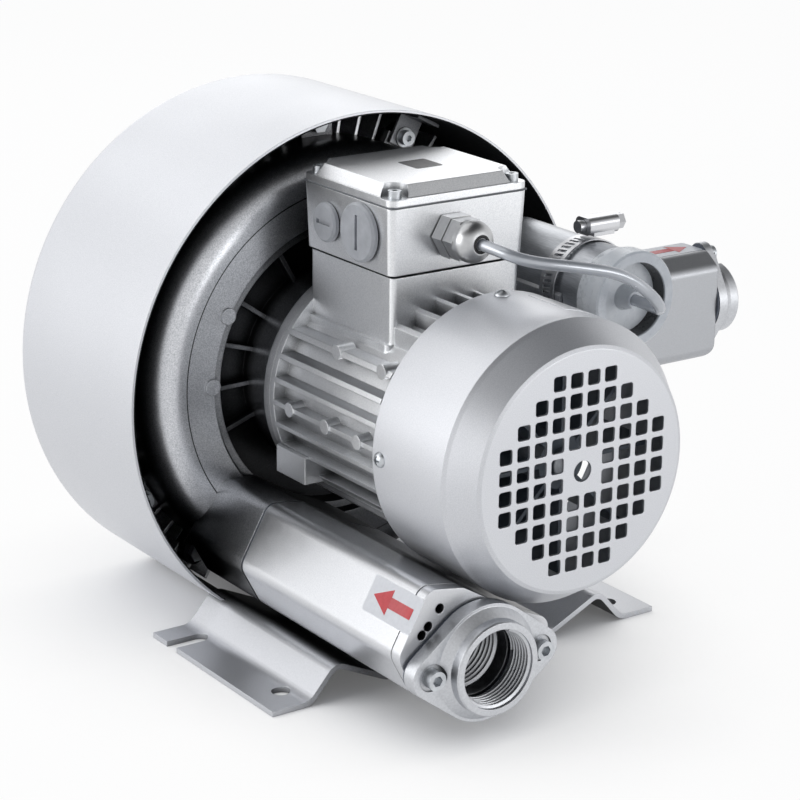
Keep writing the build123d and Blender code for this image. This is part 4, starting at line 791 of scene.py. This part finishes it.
def flow_arrow(name, place, along, out, length, width):
    """A thin arrow: shaft, then a head pulled out wider and drawn to a point."""
    head = HEAD_SHARE * length
    arrow = begin(name, bpy.ops.mesh.primitive_plane_add, size=1.0, location=(-head / 2, 0, ARROW_LIFT))
    arrow.scale = (length - head, SHAFT_SHARE * width, 1)
    bpy.ops.object.transform_apply(location=True, rotation=True, scale=True)
    edge = (length - head) / 2 - head / 2
    edit()
    pick(arrow, "edges", lambda middle, e: middle.x > edge - 1e-5)
    bpy.ops.mesh.extrude_region_move(TRANSFORM_OT_translate={"value": (0, 0, 0)})
    bpy.ops.transform.resize(value=(1, 1 / SHAFT_SHARE, 1), center_override=(edge, 0, 0))
    bpy.ops.mesh.extrude_region_move(TRANSFORM_OT_translate={"value": (head, 0, 0)})
    bpy.ops.transform.resize(value=(1, POINT_SHARE, 1), center_override=(edge + head, 0, 0))
    edit(False)
    apply_modifier(arrow, "SOLIDIFY", thickness=ARROW_THICKNESS, offset=1)
    lay_on(arrow, place, along, out)
    return finish_piece(arrow, red_film)


def carrier_film(name, place, along, out, length, width):
    """The pale film under an arrow, with rounded corners."""
    film = rounded_sheet(name, length, width, FILM_THICKNESS, FILM_LIFT)
    lay_on(film, place, along, out)
    return finish_piece(film, clear_film)


def surface_point(name, start, way):
    """Where a straight line first meets a CAD node, and the surface's outward way there."""
    hit, place, normal, _ = nodes[name].ray_cast(Vector(start), Vector(way).normalized())
    print(name, "met:", hit, [round(v, 4) for v in place])
    return place, (normal if normal.dot(Vector(way)) < 0 else -normal)


place, out = surface_point("inlet_silencer_tube", (-0.262, -0.0704, 0.169), (0.87, 0, -0.49))
flow_arrow("inlet_arrow", place, (0, 1, 0), out, length=0.032, width=0.0135)
carrier_film("inlet_arrow_film", place, (0, 1, 0), out, length=0.041, width=0.019)
place, out = surface_point("outlet_silencer", (0.166, 0.026, 0.4), (0, 0, -1))
flow_arrow("outlet_arrow", place, (1, 0, 0), out, length=0.026, width=0.0135)
carrier_film("outlet_arrow_film", place, (1, 0, 0), out, length=0.036, width=0.018)

# %% [markdown]
# ## Bare plates
# A thin foil plate lies round the top of the cowl, and a small dark one lies on the lid. Both stay blank. The
# curved one is a line that the Spin operator sweeps round the motor's axis.

# %% Plates
foil = plated_steel("bare_aluminium_foil", "C9CBCF", "DEDFE2", 0.26, 0.36, 9.0)
dark_film = printed_film("dark_blank_film", "2A2B2E", "3A3B3F", 0.4)
COWL_RADIUS = 0.074
PLATE_LIFT = 0.00005


def curved_plate(name, y_front, y_rear, from_angle, to_angle, material):
    """A plate bent round the cowl. Angles are in degrees, 90 is the top."""
    plate = line_along_y(name, MOTOR_AXIS, COWL_RADIUS + PLATE_LIFT, from_angle, (y_front, y_rear))
    bpy.ops.mesh.subdivide(number_cuts=5)
    bpy.ops.mesh.select_all(action="SELECT")
    bpy.ops.mesh.spin(steps=36, angle=math.radians(to_angle - from_angle), center=MOTOR_AXIS, axis=(0, -1, 0))
    edit(False)
    apply_modifier(plate, "SOLIDIFY", thickness=0.0003, offset=0)
    return finish_piece(plate, material)


curved_plate("cowl_plate", y_front=-0.073, y_rear=-0.0425, from_angle=80, to_angle=124, material=foil)
lid_plate = rounded_sheet("lid_plate", length=0.017, width=0.018, thickness=0.00012)
lid_plate.location = (0.003, 0.039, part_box("terminal_box_lid")[1][2])
finish_piece(lid_plate, dark_film)

# %% [markdown]
# ## The slotted clamp band
# A worm-drive clamp pulls a steel strip tight by slots pressed through it. The strip is a line with three parts
# that is spun into a ring, every second face of the middle row is taken out, and the sheet is given its
# thickness. The slots of a worm drive slant a little, which comes from turning one edge of the strip against
# the other.

# %% Clamp band
BAND_AXIS = (0.088986, 0.006, 0.190358)
BAND_HALF = 0.006
SLOT_HALF = 0.0031
ROWS = (-BAND_HALF, -SLOT_HALF, SLOT_HALF, BAND_HALF)
SLANT = math.radians(-2.2)
BAND_STEPS, TAIL_STEPS = 108, 14


def spun_strip(name, radius, from_angle, to_angle, steps):
    """A strip across Y, spun round the can's axis. Angles are in degrees, 90 is the top."""
    strip = line_along_y(name, BAND_AXIS, radius, from_angle, (ROWS[0], ROWS[-1]))
    for y in ROWS[1:-1]:
        bpy.ops.mesh.select_all(action="SELECT")
        bpy.ops.mesh.bisect(plane_co=(0, BAND_AXIS[1] + y, 0), plane_no=(0, 1, 0))
    bpy.ops.mesh.select_all(action="SELECT")
    bpy.ops.mesh.spin(steps=steps, angle=math.radians(to_angle - from_angle), center=BAND_AXIS, axis=(0, -1, 0))
    bpy.ops.mesh.select_all(action="SELECT")
    bpy.ops.mesh.remove_doubles(threshold=1e-6)
    edit(False)
    return strip


def slot_faces(strip, step, low, high):
    """Takes every second face out of the middle row between two angles. Step is one face in degrees."""
    def is_slot(middle, face):
        angle = math.degrees(math.atan2(middle.z - BAND_AXIS[2], middle.x - BAND_AXIS[0])) % 360
        return abs(middle.y - BAND_AXIS[1]) < 0.001 and low < angle < high and int(angle / step) % 2 == 0

    only(strip)
    edit()
    pick(strip, "faces", is_slot)
    bpy.ops.mesh.delete(type="FACE")
    pick(strip, "verts", lambda middle, v: middle.y < BAND_AXIS[1] - SLOT_HALF / 2)
    bpy.ops.transform.rotate(value=SLANT, orient_axis="Y", center_override=BAND_AXIS)
    edit(False)


band = spun_strip("clamp_strip", radius=0.0258, from_angle=60, to_angle=420, steps=BAND_STEPS)
slot_faces(band, step=360 / BAND_STEPS, low=95, high=250)
tail = spun_strip("clamp_tail", radius=0.0268, from_angle=40, to_angle=84, steps=TAIL_STEPS)
slot_faces(tail, step=(84 - 40) / TAIL_STEPS, low=40, high=75)
for strip in (band, tail):
    apply_modifier(strip, "SOLIDIFY", thickness=0.0008, offset=0)
    apply_modifier(strip, "BEVEL", width=0.00012, segments=1, limit_method="ANGLE")
finish_piece(band, steel_strip)
finish_piece(tail, steel_strip)
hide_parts("clamp_band")

# %% [markdown]
# ## Cross-recess screws of the cowl
# Four pan head screws hold the cowl. A head is a ball cut near its middle and pressed flat, with a short shank
# pulled out of its underside, and a Boolean cuts the cross with two crossed bars. One screw is modelled, then
# copied round the motor, and the four copies are joined.

# %% Cowl screws
SCREW_Y = -0.0375
HEAD_RADIUS = 0.0042
HEAD_CUT, HEAD_FLATNESS = 0.0006, 0.70
SHANK_INSET, SHANK_LENGTH = 0.0022, 0.0075
BAR_SIZE, BAR_HEIGHT = (0.0046, 0.0009, 0.003), 0.0025
HEAD_LIFT = 0.00002


def crossed_bars():
    """The cutter of a cross recess."""
    bars = []
    for turned in (0.0, math.pi / 2):
        bar = begin("bar", bpy.ops.mesh.primitive_cube_add, size=1.0, rotation=(0, 0, turned))
        bar.scale = BAR_SIZE
        bar.location = (0, 0, BAR_HEIGHT)
        bpy.ops.object.transform_apply(location=True, rotation=True, scale=True)
        bars.append(bar)
    apply_modifier(bars[1], "BOOLEAN", operation="UNION", object=bars[0])
    bpy.data.objects.remove(bars[0])
    return bars[1]


def pan_head_screw():
    """One screw along +Z with its head's underside at zero."""
    screw = begin("screw", bpy.ops.mesh.primitive_uv_sphere_add, segments=32, ring_count=16, radius=HEAD_RADIUS)
    edit()
    bpy.ops.mesh.select_all(action="SELECT")
    bpy.ops.mesh.bisect(plane_co=(0, 0, HEAD_CUT), plane_no=(0, 0, 1), clear_inner=True, use_fill=True)
    pick(screw, "faces", lambda middle, f: f.normal.z < -0.9)
    bpy.ops.mesh.inset(thickness=SHANK_INSET)
    bpy.ops.mesh.extrude_region_move(TRANSFORM_OT_translate={"value": (0, 0, -SHANK_LENGTH)})
    bpy.ops.mesh.select_all(action="SELECT")
    bpy.ops.transform.resize(value=(1, 1, HEAD_FLATNESS), center_override=(0, 0, HEAD_CUT))
    bpy.ops.transform.translate(value=(0, 0, -HEAD_CUT))
    edit(False)
    cutter = crossed_bars()
    apply_modifier(screw, "BOOLEAN", operation="DIFFERENCE", object=cutter)
    bpy.data.objects.remove(cutter)
    return screw


first = pan_head_screw()
copies = []
for quarter in range(4):
    angle = quarter * math.pi / 2
    copy = first.copy()
    copy.data = first.data.copy()
    bpy.context.scene.collection.objects.link(copy)
    reach = COWL_RADIUS + HEAD_LIFT
    copy.location = (reach * math.cos(angle), SCREW_Y, AXIS_Z + reach * math.sin(angle))
    copy.rotation_euler = (0, math.pi / 2 - angle, 0)
    copies.append(copy)
bpy.data.objects.remove(first)
bpy.ops.object.select_all(action="DESELECT")
for copy in copies:
    copy.select_set(True)
bpy.context.view_layer.objects.active = copies[0]
bpy.ops.object.join()
copies[0].name = "cross_recess_screws"
finish_piece(copies[0], zinc, smooth=50)
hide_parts("cowl_screws")

# %% [markdown]
# ## Seal of the cable gland
# A black rubber ring grips the cable inside the dome nut. Only its front shows, as a dark ring round the cable.
# It is a torus that is pressed a little flat.

# %% Gland seal
GLAND = (-0.006, -0.0277, 0.2327)
black_seal = moulded_plastic("black_seal_rubber", "0E0F10", "18191B", 0.5, 0.65, 0.5, 0.01)
seal = begin("gland_seal", bpy.ops.mesh.primitive_torus_add, major_segments=48, minor_segments=12,
             major_radius=0.00415, minor_radius=0.00085, location=GLAND, rotation=(math.pi / 2, 0, 0))
seal.scale = (1, 1, 0.6)
finish_piece(seal, black_seal)

# %% [markdown]
# ## The floor
# A plain pale sheet lies under the feet. The camera sees it white, and it darkens near the machine: the share
# of open space over each point moves it between a glowing sheet and a lit one, which shows the real shadow. So
# the darkening is part real shadow and part painted shadow, drawn by how near the machine is.

# %% Floor
FLOOR_SIZE = 24
SHADOW_REACH = 0.16
SHADED, OPEN = 0.25, 0.82
LEAST_GLOW, MOST_GLOW = 0.1, 0.96
bpy.ops.object.select_all(action="DESELECT")
bpy.ops.mesh.primitive_plane_add(size=FLOOR_SIZE, location=(0, 0.5, 0))
floor = bpy.context.active_object
floor.name = "floor"
floor_material, tree, shader, place = start_finish("white_floor", "F4F4F5", 0.0, 0.7)
glow = node(tree, "ShaderNodeEmission", Color=(1, 1, 1, 1), Strength=1.0)
# Nearness of the machine cuts the glow: a painted shadow round the feet and under the machine.
near = node(tree, "ShaderNodeAmbientOcclusion", samples=8, Distance=SHADOW_REACH).outputs["AO"]
open_share = node(tree, "ShaderNodeMapRange", {0: near}, **{
    "From Min": SHADED, "From Max": OPEN, "To Min": LEAST_GLOW, "To Max": MOST_GLOW})
share = node(tree, "ShaderNodeMath", {
    0: background_rays(tree), 1: open_share.outputs[0]}, operation="MULTIPLY")
mixed = node(tree, "ShaderNodeMixShader", {0: share.outputs[0], 1: shader.outputs[0], 2: glow.outputs[0]})
tree.links.new(mixed.outputs[0], tree.nodes["Material Output"].inputs["Surface"])
floor.data.materials.append(floor_material)
